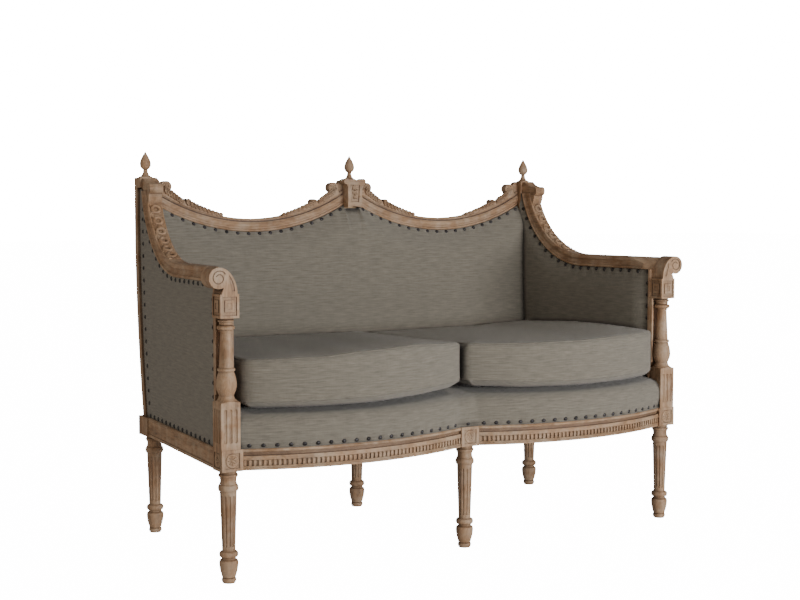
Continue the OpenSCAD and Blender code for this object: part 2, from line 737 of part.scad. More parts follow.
module arm_rail_blank() {
    front_run = arm_local_y;
    translate([0, arm_local_y, arm_z]) rotate([0, 90, 0]) {
        rotate_extrude(angle = arm_sweep_end + 4, $fn = 240) arm_rail_section();
        rotate([90, 0, 0]) linear_extrude(front_run) arm_rail_section();
    }
}

// Carved rings along the top of the sweep, drawn in the arm's plane, each facing the sweep's centre
carved_ring_r = 14;
carved_eye_r = 5;
carved_ring_h = 4.5;
carved_ring_step = 8.2;
carved_rings = 6;
module arm_rings() {
    for (i = [0:carved_rings - 1]) let (a = arm_sweep_end - 15 - carved_ring_step * i)
        translate([0, arm_y + arm_inner_r * sin(a), arm_z - arm_inner_r * cos(a)]) rotate([a, 0, 0]) {
            rotate_extrude() polygon([
                [carved_eye_r, -3], [carved_ring_r, -3], [carved_ring_r, 1], [carved_ring_r - 1.6, 3.4], [carved_ring_r - 4, carved_ring_h],
                [carved_eye_r + 2, 3.4], [carved_eye_r, 1]
            ]);
        }
}

// Turn of the cut that lets the rail's front end run out from behind the neck
arm_end_turn = 25;

module arm_rail(side) {
    color(wood) placed() on_side(side) difference() {
        union() {
            difference() {
                on_arm(1) arm_rail_blank();
                box([0, -leg_depth, arm_scroll_z - 6], [2 * front_x, leg_depth, back_post_top + 100]);
            }
            arm_top_pieces();
        }
        box([front_x - 100, -leg_depth, 0], [front_x + 100, head_back_y, arm_top + 100]);
        translate([post_x, head_back_y, 0]) rotate([0, 0, arm_end_turn]) along_y(-20, 90) polygon(concat(
            [for (i = [0:10]) neck_edge(7 * i, 0, 0)], [[volute_reach, arm_top + 20], [-60, arm_top + 20], [-60, head_z1]]
        ));
        curved_slab(-back_post_t / 2 - joint_gap, back_post_t / 2 + 60, back_x - 100, back_x + 100, seat_frame_top, back_post_top + 20);
    }
}

// Shoulder, scroll and rings, drawn in the arm's plane
module arm_top_pieces() {
    on_arm(1) translate([0, arm_local_y - arm_y, 0]) {
        along_x(-17, 17) arm_shoulder();
        arm_rings();
    }
}

// Back frame

// Tongue under the crest, behind the inside back, that takes the fabrics and their nails
tongue_h = 18;

// Section of the crest rail: x is the radius from the swag's centre, y runs to the front
module crest_section() {
    r0 = crest_top_r;
    r1 = swag_r;
    back = -crest_t - crest_front;
    difference() {
        union() {
            translate([r0, back]) square([crest_h, -crest_front - back - 2]);
            translate([r0 + 3, -crest_front - 4]) circle(r = 3);
            translate([r0 + 9.5, -crest_front - 4]) square([crest_h - 15, 3.5]);
            translate([r0 + 18, -crest_front - 8]) circle(r = 9.5);
            translate([r1 - 3.5, -crest_front - 1.5]) circle(r = 3.5);
            translate([r1 - 7, -crest_front - 6]) square([7, 5]);
            translate([r1 - 4, 1 - stile_back]) square([4 + tongue_h, stile_back - stile_front - 1]);
        }
        translate([r0 + 6.5, -crest_front - 6]) square([3.5, 12]);
    }
}

// One end of the crest's carving in X and Z from the swag's centre: leaf, bud, leaf and scroll
module crest_carving() {
    bud_a = 20.9;
    bud_r = 8.5;
    scroll_a = asin(scroll_dx / (crest_top_r - 21));
    polygon(leaf(crest_top_r, 9.5, bud_a, 0.5, 9, 3, 3, 24));
    polygon(leaf(crest_top_r, bud_a - 0.5, scroll_a + 1, 4, 14, 3, 3, 24));
    translate([(crest_top_r - 10.5) * sin(bud_a), -(crest_top_r - 10.5) * cos(bud_a)]) circle(r = bud_r);
    translate([scroll_dx, -(crest_top_r - 21) * cos(scroll_a)]) circle(r = crest_scroll_d / 2);
}

// Stepped leaf between a scroll and the post or pier beside it, in X and Z from the swag's centre
module crest_shoulder() {
    x1 = (post_inner_x - pier_w / 2) / 2;
    top = back_post_top - swag_z;
    polygon([
        [scroll_dx - 6, -crest_top_r * cos(27) - 2], [scroll_dx, top - 9], [x1 - 14, top - 10], [x1 - 12, top - 5],
        [x1 - 8, top - 2], [x1, top - 1], [x1, -swag_r * cos(30) + 20]
    ]);
}

module crest_rail(side) {
    reach = asin((post_inner_x - swag_x) / swag_r) + 2;
    x0 = pier_w / 2;
    y0 = post_top_y;
    color(wood) placed() on_side(side) intersection() {
        union() {
            translate([swag_x, y0, swag_z]) rotate([90, 0, 0]) rotate_extrude(start = -90 - reach, angle = 2 * reach, $fn = 240) crest_section();
            for (s = [-1, 1]) translate([swag_x, 0, swag_z]) on_side(s) {
                along_y(y0 + crest_front, y0 + 16) crest_carving();
                along_y(y0 + crest_front + 4, y0 + 14) crest_shoulder();
            }
        }
        box([x0, 0, 0], [post_inner_x, 2 * leg_depth, back_post_top + 50]);
    }
}

// Centre pier: a keystone between the two swags with a sunk panel and an arched foot
module centre_pier() {
    y_back = post_top_y + back_post_t / 2;
    y_crest = post_top_y + crest_front;
    y_wing = y_crest - 2;
    y_front = y_crest - pier_proud;
    arch_r = 60;
    color(wood) placed() difference() {
        union() {
            box([-pier_w / 2, y_crest - 4, pier_bottom], [pier_w / 2, y_back, back_post_top]);
            along_y(y_front, y_wing) {
                translate([-pier_w / 2, pier_bottom]) square([pier_w, back_post_top - pier_bottom]);
                for (s = [-1, 1]) {
                    translate([s * pier_ear_x, back_post_top - 5]) circle(r = pier_ear_r);
                    polygon([[0, back_post_top - 30], [s * pier_w / 2, back_post_top - 30], [s * (pier_w / 2 + 1.5), back_post_top - 18], [s * pier_ear_x, back_post_top - 12], [0, back_post_top - 5]]);
                }
            }
        }
        along_y(y_front - 1, y_front + 2.5) polygon([
            [-pier_w / 2 + 10, pier_bottom + 16], [pier_w / 2 - 10, pier_bottom + 16],
            [pier_w / 2 - 7, back_post_top - 14], [-pier_w / 2 + 7, back_post_top - 14]
        ]);
        along_y(y_front - 1, y_back + 1) translate([0, pier_bottom - arch_r + 5]) circle(r = arch_r, $fn = 120);
        translate([0, post_top_y, back_post_top]) dowel_hole();
    }
}

// Turned bud-shaped finial on a flared foot
finial_foot_r = 18;
finial_neck_r = 5.5;
finial_neck_z = 19.5;
function finial_outline() = concat(
    [[0, 0], [finial_foot_r, 0], [finial_foot_r, 2]],
    cove(finial_foot_r - 0.5, 2.5, finial_neck_r + 0.5, finial_neck_z - 0.5, 8),
    [for (i = [0:14]) let (t = i / 14) [
        finial_neck_r * (1 - t) + (finial_d / 2 - 3.4) / 0.945 * sin(180 * pow(t, 0.72)) * (1 - 0.15 * t) + 0.4 * t,
        finial_neck_z + (finial_h - finial_neck_z) * t
    ]],
    [[0, finial_h]]
);

module finial(x) {
    color(wood) placed() translate([x, post_top_y, back_post_top]) {
        rotate_extrude() polygon(finial_outline());
        dowel();
    }
}

lower_rail_z0 = seat_frame_top + 30;
lower_rail_z1 = lower_rail_z0 + 45;
module back_lower_rail() {
    color(wood_hidden) placed() curved_slab(stile_front, stile_back, -post_inner_x, post_inner_x, lower_rail_z0, lower_rail_z1);
}

module back_stile() {
    color(wood_hidden) placed() difference() {
        curved_slab(stile_front, stile_back, -pier_w / 2, pier_w / 2, lower_rail_z1, pier_bottom + 5);
        along_y(post_top_y - 100, post_top_y + 100) translate([0, pier_bottom - 55]) difference() {
            translate([-100, 20]) square([200, 80]);
            circle(r = 60 - joint_gap, $fn = 120);
        }
    }
}

// Webbing and hessian

strap_w = 50;
web_inset = 21;

// Plan outline of the seat inside the rails' faces, drawn in by an inset
module seat_plan(inset) {
    intersection() {
        union() for (s = [-1, 1]) translate([s * bow_x, bow_y]) circle(r = bow_r - inset, $fn = 240);
        translate([-2 * front_x, -2 * leg_depth]) square([4 * front_x, 2 * leg_depth + back_y - 4]);
        union() for (s = [0, 1]) mirror([s, 0]) intersection() {
            translate([-1, -leg_depth]) square([2 * front_x, 2 * leg_depth]);
            translate([front_x, front_y]) rotate(arm_angle) translate([-2 * front_x, -leg_depth]) square([2 * front_x + side_rail_x - inset, 3 * leg_depth]);
        }
    }
}

// Straps from side rail to side rail, with straps from front to back laid over them
module seat_webbing() {
    y_first = head_back_y + stile_half_t + 6 + strap_w / 2;
    y_last = back_y - back_block_w / 2 - 12 - strap_w / 2;
    color(jute) placed() {
        for (i = [0:4]) let (y = y_first + (y_last - y_first) * i / 4, x = arm_x(y) - 4)
            box([-x, y - strap_w / 2, seat_frame_top], [x, y + strap_w / 2, seat_frame_top + web_t]);
        for (i = [-5:5]) let (x = i * (front_x - 60) / 5.6, y0 = max(seat_front_y(x - strap_w / 2), seat_front_y(x + strap_w / 2)) + web_inset)
            box([x - strap_w / 2, y0, seat_frame_top + web_t], [x + strap_w / 2, back_y, web_top]);
    }
}

// Depth of the front rail's face at a place across the seat
function seat_front_y(x) = abs(abs(x) - bow_x) < bow_half ? bow_y - sqrt(bow_r * bow_r - pow(abs(x) - bow_x, 2)) : rail_face_y;

module seat_hessian() {
    color(jute) placed() translate([0, 0, web_top]) linear_extrude(hessian_t) difference() {
        seat_plan(web_inset);
        for (s = [0, 1]) mirror([s, 0]) {
            translate([front_x, front_y]) rotate(arm_angle) translate([-plinth_w / 2 - 1, -100]) square([100, 101 + head_w / 2 + stile_half_t]);
            translate([post_inner_x - 1, back_y - back_block_w / 2 - 1]) square(200);
        }
    }
}

module back_webbing() {
    color(jute) placed() {
        for (i = [-4:4]) let (x = i * (post_inner_x - 50) / 4.2, top = min(swag_edge_z(x - strap_w / 2), swag_edge_z(x + strap_w / 2), abs(x) < pier_w ? pier_bottom : back_post_top))
            curved_slab(stile_front - 2 * strap_t, stile_front - strap_t, x - strap_w / 2, x + strap_w / 2, lower_rail_z0 + 5, top - 12);
        for (i = [0:3]) let (z = lower_rail_z1 + 50 + (swag_low - lower_rail_z1 - 90) * i / 3)
            curved_slab(stile_front - strap_t, stile_front, -post_inner_x + cloth_gap, post_inner_x - cloth_gap, z - strap_w / 2, z + strap_w / 2);
    }
}

// Soft forms

// Rounded rectangle drawn anticlockwise, always with the same number of points
function ring(hx, hy, r, nx, ny, nc) = concat(
    [for (i = [0:nx - 1]) [-hx + r + 2 * (hx - r) * i / nx, -hy]],
    [for (i = [0:nc - 1]) [hx - r + r * cos(-90 + 90 * i / nc), -hy + r + r * sin(-90 + 90 * i / nc)]],
    [for (i = [0:ny - 1]) [hx, -hy + r + 2 * (hy - r) * i / ny]],
    [for (i = [0:nc - 1]) [hx - r + r * cos(90 * i / nc), hy - r + r * sin(90 * i / nc)]],
    [for (i = [0:nx - 1]) [hx - r - 2 * (hx - r) * i / nx, hy]],
    [for (i = [0:nc - 1]) [-hx + r + r * cos(90 + 90 * i / nc), hy - r + r * sin(90 + 90 * i / nc)]],
    [for (i = [0:ny - 1]) [-hx, hy - r - 2 * (hy - r) * i / ny]],
    [for (i = [0:nc - 1]) [-hx + r + r * cos(180 + 90 * i / nc), -hy + r + r * sin(180 + 90 * i / nc)]]
);

// Closed solid through a stack of rings, with a middle point below and above
module ring_stack(rings, low, high) {
    n = len(rings[0]);
    m = len(rings);
    points = concat([low], [for (r = rings) each r], [high]);
    faces = concat(
        [for (i = [0:n - 1]) [0, 1 + i, 1 + (i + 1) % n]],
        [for (k = [0:m - 2], i = [0:n - 1]) [1 + k * n + i, 1 + (k + 1) * n + i, 1 + (k + 1) * n + (i + 1) % n]],
        [for (k = [0:m - 2], i = [0:n - 1]) [1 + k * n + i, 1 + (k + 1) * n + (i + 1) % n, 1 + k * n + (i + 1) % n]],
        [for (i = [0:n - 1]) [1 + m * n, 1 + (m - 1) * n + (i + 1) % n, 1 + (m - 1) * n + i]]
    );
    polyhedron(points, faces);
}

// Closed solid between a face sheet and a back sheet of rows of points
module sheet_pair(face, rear) {
    nr = len(face);
    nc = len(face[0]);
    n = nr * nc;
    points = concat([for (r = face) each r], [for (r = rear) each r]);
    edge = concat(
        [for (j = [0:nc - 1]) j],
        [for (i = [1:nr - 1]) i * nc + nc - 1],
        [for (j = [nc - 2:-1:0]) (nr - 1) * nc + j],
        [for (i = [nr - 2:-1:1]) i * nc]
    );
    e = len(edge);
    faces = concat(
        [for (i = [0:nr - 2], j = [0:nc - 2]) let (a = i * nc + j) [a, a + nc, a + nc + 1]],
        [for (i = [0:nr - 2], j = [0:nc - 2]) let (a = i * nc + j) [a, a + nc + 1, a + 1]],
        [for (i = [0:nr - 2], j = [0:nc - 2]) let (a = n + i * nc + j) [a, a + nc + 1, a + nc]],
        [for (i = [0:nr - 2], j = [0:nc - 2]) let (a = n + i * nc + j) [a, a + 1, a + nc + 1]],
        [for (k = [0:e - 1]) [edge[k], edge[(k + 1) % e], n + edge[(k + 1) % e]]],
        [for (k = [0:e - 1]) [edge[k], n + edge[(k + 1) % e], n + edge[k]]]
    );
    polyhedron(points, faces);
}

// Depth of the inside back's face at the sides, which comes forward above the cushions
lean_z0 = deck_top + 16;
lean_run = 400;
function back_face_y(z) = post_y(z) - back_post_t / 2 - back_pad_proud - back_pad_lean * min(1, max(0, (z - lean_z0) / lean_run));

// Swell between two edges: zero at both and full in the middle
function swell(t) = 1 - pow(2 * min(1, max(0, t)) - 1, 4);

// Seat deck

deck_half_x = arm_x(front_y) - arm_pad_face - cloth_gap;
deck_half_y = leg_depth / 2;
deck_face_inset = 5;
deck_corner = 6;
deck_side_reach = 21.5;
function deck_place(p, z) = let (
    v = min(1, (p[1] + deck_half_y) / (2 * deck_half_y)),
    y = front_y + leg_depth * v,
    half = arm_x(y) - max(deck_side_reach, arm_side_depth(y)) / cos(arm_angle) - cloth_gap,
    x = p[0] / deck_half_x * half
) [x, (1 - v) * (seat_front_y(x) + deck_face_inset) + v * (back_face_y(z) - cloth_gap), z];

// Heights and insets of the deck's rings from its front edge up over the roll
deck_rings = [
    [1, 8 / 83], [-3, 22 / 83], [-5, 42 / 83], [-1, 58 / 83], [9, 71 / 83], [26, 79 / 83], [60, 1]
];

function deck_ring(inset, z) = [for (p = ring(deck_half_x - max(0, inset), deck_half_y - inset, deck_corner, 28, 9, 2)) deck_place(p, z)];
function deck_floor_ring(inset, lip) = [for (p = ring(deck_half_x - inset, deck_half_y - inset, deck_corner, 28, 9, 2))
    deck_place(p, p[1] < -deck_half_y + 12 ? lip : pad_floor)];

module seat_deck() {
    color(linen) placed() ring_stack(
        concat(
            [deck_floor_ring(10, pad_floor), deck_floor_ring(8, seat_frame_top), deck_floor_ring(1, seat_frame_top)],
            [for (r = deck_rings) deck_ring(r[0], seat_frame_top + deck_h * r[1])]
        ),
        [0, 0, pad_floor], [0, 0, deck_top]
    );
}

// Inside back

function back_top_z(x) = (abs(x) <= pier_w / 2 + cloth_gap ? pier_bottom : swag_edge_z(x)) - cloth_gap - edge_sag;
back_edge_depth = 8.5;
function back_front_y(x, z) = let (
    top = back_top_z(x),
    roll = sin(90 * min(1, (top - z) / 70)),
    side = post_y(z) - back_face_y(z),
    crown = back_crown * (1 - pow(x / post_inner_x, 4)) * swell((z - deck_top) / (top - deck_top))
) post_y(z) - back_edge_depth - (side - back_edge_depth) * roll - crown * roll;

// Half width of the inside back at a height, so that it clears the inside arms
function back_half_x(z) = min(post_inner_x, arm_x(post_y(z) - back_post_t / 2) - arm_pad_face) - cloth_gap - 0.2;

// Height of a row, by its share: up to the deck in the first part, then on to the top edge
deck_share = 0.16;
function pad_row_z(t, top) = t < deck_share ? pad_floor + (deck_top - pad_floor) * t / deck_share : deck_top + (top - deck_top) * (t - deck_share) / (1 - deck_share);

// Place across and height of a point of the inside back, by its share from the pier's edge out and up
back_pad_x0 = pier_w / 2 + cloth_gap;
function back_pad_x(u, z) = u == 0 ? 0 : sign(u) * (back_pad_x0 + (abs(u) - 1) * (back_half_x(z) - back_pad_x0));
function back_pad_place(u, t) = let (
    x = back_pad_x(u, pad_row_z(t, swag_low)),
    x2 = back_pad_x(u, pad_row_z(t, back_top_z(x)))
) [x2, pad_row_z(t, back_top_z(x2))];

module inside_back_pad() {
    n = 15;
    us = concat([for (i = [0:n]) -2 + i / n], [0], [for (i = [0:n]) 1 + i / n]);
    ts = [0, 0.08, deck_share, 0.3, 0.44, 0.58, 0.72, 0.84, 0.91, 0.96, 0.985, 1];
    rear = stile_front - 2 * strap_t - cloth_gap;
    color(linen) placed() sheet_pair(
        [for (t = ts) [for (u = us) let (p = back_pad_place(u, t)) [p[0], back_front_y(p[0], p[1]), p[1]]]],
        [for (t = ts) [for (u = us) let (p = back_pad_place(u, t)) [p[0], post_y(p[1]) + rear, p[1]]]]
    );
}

// Inside arms

function arm_pad_y(s, z) = arm_pad_y0 + s * (post_y(z) - back_post_t / 2 - 2 * cloth_gap - arm_pad_y0);
function arm_pad_z(y, t) = pad_row_z(t, arm_edge_z(y, cloth_gap + edge_sag));

// Depth and height of a point of the inside arm, by its share of the length and of the height
function arm_pad_place(s, t) = let (
    y1 = arm_pad_y(s, pad_row_z(t, arm_meet_z)),
    y2 = arm_pad_y(s, arm_pad_z(y1, t)),
    y3 = arm_pad_y(s, arm_pad_z(y2, t))
) [y3, arm_pad_z(y3, t)];

// Thickness of the padding inside the arm's middle plane: rolled at the front and top edges, swelled between
function arm_front_roll(y) = sin(90 * min(1, max(0, (y - arm_pad_y0) / arm_roll_front)));
function arm_side_depth(y) = arm_pad_face - (arm_pad_face - arm_edge_front) * (1 - arm_front_roll(y));
function arm_crown_at(y, z) = arm_crown * swell((y - arm_pad_y0) / (back_face_y(z) - arm_pad_y0 - 2));
function arm_pad_depth(y, z) = let (
    top = arm_edge_z(y),
    top_roll = sin(90 * min(1, max(0, (top - z) / arm_roll_top)))
) arm_side_depth(y) - (arm_pad_face - arm_edge_top) * (1 - top_roll) * arm_front_roll(y) + arm_crown_at(y, z) * swell((z - deck_top) / (top - deck_top));

module inside_arm_pad(side) {
    swept = 14;
    run = arm_meet_y - arm_pad_y0;
    flat = (arm_y - arm_pad_y0) / run;
    ss = concat(
        [for (s = [0, 0.03, 0.08, 0.15, 0.26, 0.42, 0.6, 0.8]) s * flat],
        [for (i = [0:swept - 1]) (arm_y - arm_pad_y0 + arm_sweep_r * sin(arm_sweep_end * i / swept)) / run],
        [1]
    );
    ts = [0, deck_share, 0.24, 0.36, 0.5, 0.64, 0.76, 0.86, 0.94, 0.98, 1];
    color(linen) placed() on_side(side) sheet_pair(
        [for (t = ts) [for (s = ss) let (p = arm_pad_place(s, t)) [arm_x(p[0]) - arm_pad_depth(p[0], p[1]), p[0], p[1]]]],
        [for (t = ts) [for (s = ss) let (p = arm_pad_place(s, t)) [arm_x(p[0]) - arm_pad_back, p[0], p[1]]]]
    );
}

// Outside panels and dust cover

module outside_arm_panel(side) {
    y0 = arm_pad_y0;
    far = arm_meet_y + 60;
    color(linen) placed() on_side(side) intersection() {
        on_arm(1) translate([0, arm_local_y - arm_y, 0]) along_x(arm_panel_x, arm_panel_x + panel_t) difference() {
            translate([y0, seat_frame_top]) square([far - y0, arm_meet_z - seat_frame_top]);
            translate([y0 - 10, arm_bottom - cloth_gap]) square([arm_y - y0 + 10, arm_meet_z]);
            translate([arm_y, arm_z]) circle(r = arm_sweep_r + cloth_gap, $fn = 240);
        }
        curved_slab(-leg_depth, -cloth_gap, 0, 2 * front_x, seat_frame_top, arm_meet_z + 10);
    }
}

module outside_back_panel() {
    half = post_inner_x - cloth_gap;
    gap = joint_gap;
    color(linen) placed() difference() {
        curved_slab(stile_back + gap, stile_back + gap + panel_t, -half, half, seat_frame_top, pier_bottom - cloth_gap);
        along_y(post_top_y - 100, post_top_y + 100) for (s = [-1, 1]) translate([s * swag_x, swag_z]) circle(r = swag_r + cloth_gap, $fn = 240);
    }
}

module dust_cover() {
    color(pewter) placed() translate([0, 0, rail_z0 - hessian_t]) linear_extrude(hessian_t) difference() {
        seat_plan(8);
        for (x = [-front_x, 0, front_x]) translate([x, front_y]) square(front_block_w + 2, center = true);
        translate([0, back_y]) square(front_block_w + 2, center = true);
        for (x = [-back_x, back_x]) translate([x, back_y]) square(back_block_w + 2, center = true);
    }
}

// Loose cushions

cushion_half_x = (arm_x(0) - arm_pad_face) / 2;
cushion_half_y = leg_depth / 2;
cushion_back_y = back_face_y(cushion_z0) - back_crown - cushion_gap;
cushion_corner = 30;
cushion_overhang = 2;
cushion_corner_setback = 12;

// Front edge of a cushion: it overhangs the rail a little in the bow and stands back at its corners
function cushion_front_y(x) = let (bow = (rail_face_y - seat_front_y(x)) / front_bow)
    seat_front_y(x) - cushion_overhang * bow + cushion_corner_setback * (1 - bow);

// Moves a point of the plain rectangle to its place on the right-hand seat
function cushion_place(p, z) = let (
    a = p[0] / cushion_half_x,
    b = p[1] / cushion_half_y,
    u = (a * (1 - cushion_draw / cushion_half_x * (1 - b * b)) + 1) / 2,
    v = ((b > 0 ? b * (1 - cushion_draw / cushion_half_y * (1 - a * a)) : b) + 1) / 2,
    y = front_y + leg_depth * v,
    outer = arm_x(y) - (arm_pad_face + arm_crown_at(y, arm_bottom)) / cos(arm_angle) - cushion_gap,
    x = cushion_gap / 2 + u * (outer - cushion_gap / 2)
) [x, (1 - v) * cushion_front_y(x) + v * cushion_back_y, z];

// Inset and height of each ring: belly, lower seam, boxing, upper seam and crown
boxing_swell = 5;
cushion_rings = [
    [70, cushion_z0], [34, cushion_z0 + cushion_belly * 0.16], [14, cushion_z0 + cushion_belly * 0.5],
    [boxing_swell, seam_low], [2, seam_low + boxing_h * 0.12], [0, seam_low + boxing_h * 0.5],
    [2, seam_low + boxing_h * 0.88], [boxing_swell, seam_high], [13, seam_high + cushion_crown * 0.34],
    [32, seam_high + cushion_crown * 0.62], [75, seam_high + cushion_crown * 0.86], [140, seam_high + cushion_crown * 0.97]
];

module cushion_form() {
    ring_stack(
        [for (r = cushion_rings) [for (p = ring(cushion_half_x - r[0], cushion_half_y - r[0], max(9, cushion_corner - r[0] / 3), 14, 7, 4)) cushion_place(p, r[1])]],
        [cushion_place([0, 0], 0)[0], cushion_place([0, 0], 0)[1], cushion_z0],
        [cushion_place([0, 0], 0)[0], cushion_place([0, 0], 0)[1], seam_high + cushion_crown]
    );
}

// Plain block of foam inside a cover, with an inset from the cover's seams
module foam_block(inset) {
    corners = [for (p = [[-1, -1], [-0.5, -1], [0, -1], [0.5, -1], [1, -1], [1, 1], [-1, 1]]) cushion_place([p[0] * (cushion_half_x - 22 - inset), p[1] * (cushion_half_y - 22 - inset)], 0)];
    translate([0, 0, seam_low + cover_t + inset]) linear_extrude(boxing_h - 2 * cover_t - 2 * inset) polygon([for (c = corners) [c[0], c[1]]]);
}

module cushion_cover(side) {
    color(linen) placed() on_side(side) difference() {
        cushion_form();
        foam_block(0);
    }
}

module cushion_core(side) {
    color(foam) placed() on_side(side) foam_block(cloth_gap);
}

// Round-headed nails: a low dome whose flat underside is at z = 0, with the shank below it

nail_shank_r = 0.9;
nail_shank_l = 12;
nail_sink = 0.3;
module nail() {
    translate([0, 0, -nail_shank_l]) cylinder(r = nail_shank_r, h = nail_shank_l + 1);
    intersection() {
        translate([0, 0, -nail_d * 0.27]) sphere(d = nail_d * 1.14);
        translate([0, 0, nail_d]) cube(2 * nail_d, center = true);
    }
}

nail_rise = 6.5;

module nails_seat_front() {
    r = bow_r - deck_face_inset - 1;
    span = asin(bow_half / bow_r);
    count = round(2 * span * PI / 180 * r / nail_pitch);
    z = seat_frame_top + nail_rise;
    color(pewter) placed() {
        for (s = [-1, 1]) on_side(s) for (i = [0:count - 1]) let (a = -span + 2 * span * (i + 0.5) / count)
            translate([bow_x + r * sin(a), bow_y - r * cos(a), z]) rotate([90, 0, a]) nail();
        translate([0, rail_face_y + deck_face_inset + 1, z]) rotate([90, 0, 0]) nail();
    }
}

// Nails along the swags, standing on the inside back just below the crest
module nails_inside_back() {
    reach = asin((post_inner_x - swag_x - 16) / swag_r);
    count = round(2 * reach * PI / 180 * swag_r / nail_pitch);
    r = swag_r + nail_rise;
    color(pewter) placed() for (s = [-1, 1]) on_side(s) for (i = [0:count]) let (a = -reach + 2 * reach * i / count, x = swag_x + r * sin(a), z = swag_z - r * cos(a))
        translate([x, back_front_y(x, z) + nail_sink, z]) rotate([90, 0, 0]) nail();
}

// Nails along the bowed outside back, below the crest, up the posts and along the seat
module nails_outside_back() {
    reach = asin((post_inner_x - swag_x - 16) / swag_r);
    count = round(2 * reach * PI / 180 * swag_r / nail_pitch);
    r = swag_r + nail_rise;
    depth = stile_back + joint_gap + panel_t - 0.4;
    side_z0 = seat_frame_top + nail_rise;
    side_z1 = swag_edge_z(post_inner_x) - 40;
    rows = floor((side_z1 - side_z0) / nail_pitch);
    half = post_inner_x - nail_rise;
    cols = floor(2 * half / nail_pitch);
    color(pewter) placed() {
        for (s = [-1, 1]) on_side(s) {
            for (i = [0:count]) let (a = -reach + 2 * reach * i / count, x = swag_x + r * sin(a), z = swag_z - r * cos(a)) back_nail(x, z, depth);
            for (i = [1:rows]) back_nail(half, side_z0 + (side_z1 - side_z0) * i / rows, depth);
        }
        for (i = [0:cols]) back_nail(-half + 2 * half * i / cols, side_z0, depth);
    }
}

module back_nail(x, z, depth) {
    translate([x, post_arc_y, back_bow_z]) rotate([asin((z - back_bow_z) / (back_bow_r + depth)), 0, 0]) translate([0, back_bow_r + depth, 0]) rotate([-90, 0, 0]) nail();
}

// Nails on an arm, along its straight edge and its sweep, which they leave short of the post
nail_end_a = 11;
function arm_nail_places() = let (
    y0 = arm_pad_y0 + nail_rise,
    z0 = arm_bottom - nail_rise,
    straight = round((arm_y - y0) / nail_pitch),
    r = arm_sweep_r + nail_rise,
    swept = floor((arm_sweep_end - nail_end_a) * PI / 180 * r / nail_pitch)
) concat(
    [for (i = [0:straight - 1]) [y0 + (arm_y - y0) * i / straight, z0]],
    [for (i = [0:swept]) let (a = (arm_sweep_end - nail_end_a) * i / swept) [arm_y + r * sin(a), arm_z - r * cos(a)]]
);

module nails_inside_arm(side) {
    z0 = arm_bottom - nail_rise;
    rows = floor((z0 - seam_high - 20) / nail_pitch);
    color(pewter) placed() on_side(side) {
        for (p = arm_nail_places()) arm_nail(p[0], p[1], -1);
        for (i = [1:rows]) arm_nail(arm_pad_y0 + nail_rise, z0 - nail_pitch * i, -1);
    }
}

module nails_outside_arm(side) {
    run = arm_meet_y - 60 - arm_pad_y0;
    cols = floor(run / nail_pitch);
    z1 = arm_bottom - nail_rise;
    front_rows = floor((z1 - seat_frame_top - nail_pitch) / nail_pitch);
    back_rows = floor((arm_meet_z - seat_frame_top - 80) / nail_pitch);
    color(pewter) placed() on_side(side) {
        for (p = arm_nail_places()) arm_nail(p[0], p[1], 1);
        for (i = [0:cols]) arm_nail(arm_pad_y0 + nail_rise + run * i / cols, seat_frame_top + nail_rise, 1);
        for (i = [1:front_rows]) arm_nail(arm_pad_y0 + nail_rise, z1 - nail_pitch * i, 1);
        for (i = [1:back_rows]) let (z = seat_frame_top + nail_rise + nail_pitch * i)
            arm_nail(post_y(z) - back_post_t / 2 - nail_rise, z, 1);
    }
}

// A nail on the inner (-1) or outer (1) face of an arm
module arm_nail(y, z, face) {
    inner = arm_pad_depth(y, z) - nail_sink;
    x = face < 0 ? arm_x(y) - inner : arm_x(y) + (arm_panel_x + panel_t) / cos(arm_angle) - 0.3;
    translate([x, y, z]) rotate([0, 0, arm_angle]) rotate([0, face * 90, 0]) nail();
}

leg_front(-1);  // leg_front_left
leg_front_centre();
leg_front(1);  // leg_front_right
leg_back_centre();
back_post(-1);  // back_post_left
back_post(1);  // back_post_right
front_rail(-1);  // front_rail_left
front_rail(1);  // front_rail_right
side_rail(-1);  // side_rail_left
side_rail(1);  // side_rail_right
back_rail(-1);  // back_rail_left
back_rail(1);  // back_rail_right
seat_cross_rail();
corner_braces();
brace_bolts();
arm_post(-1);  // arm_post_left
arm_post(1);  // arm_post_right
arm_stile(-1);  // arm_stile_left
arm_stile(1);  // arm_stile_right
arm_rail(-1);  // arm_rail_left
arm_rail(1);  // arm_rail_right
crest_rail(-1);  // crest_rail_left
crest_rail(1);  // crest_rail_right
centre_pier();
finial(-back_x);  // finial_left
finial(0);  // finial_centre
finial(back_x);  // finial_right
back_lower_rail();
back_stile();
seat_webbing();
seat_hessian();
back_webbing();
seat_deck();
inside_back_pad();
inside_arm_pad(-1);  // inside_arm_pad_left
inside_arm_pad(1);  // inside_arm_pad_right
outside_arm_panel(-1);  // outside_arm_panel_left
outside_arm_panel(1);  // outside_arm_panel_right
outside_back_panel();
dust_cover();
cushion_cover(-1);  // cushion_cover_left
cushion_cover(1);  // cushion_cover_right
cushion_core(-1);  // cushion_core_left
cushion_core(1);  // cushion_core_right
nails_seat_front();
nails_inside_back();
nails_outside_back();
nails_inside_arm(-1);  // nails_inside_arm_left
nails_inside_arm(1);  // nails_inside_arm_right
nails_outside_arm(-1);  // nails_outside_arm_left
nails_outside_arm(1);  // nails_outside_arm_right
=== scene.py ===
import math

import bmesh
import bpy
import numpy as np
from mathutils import Matrix, Vector
from mathutils.bvhtree import BVHTree


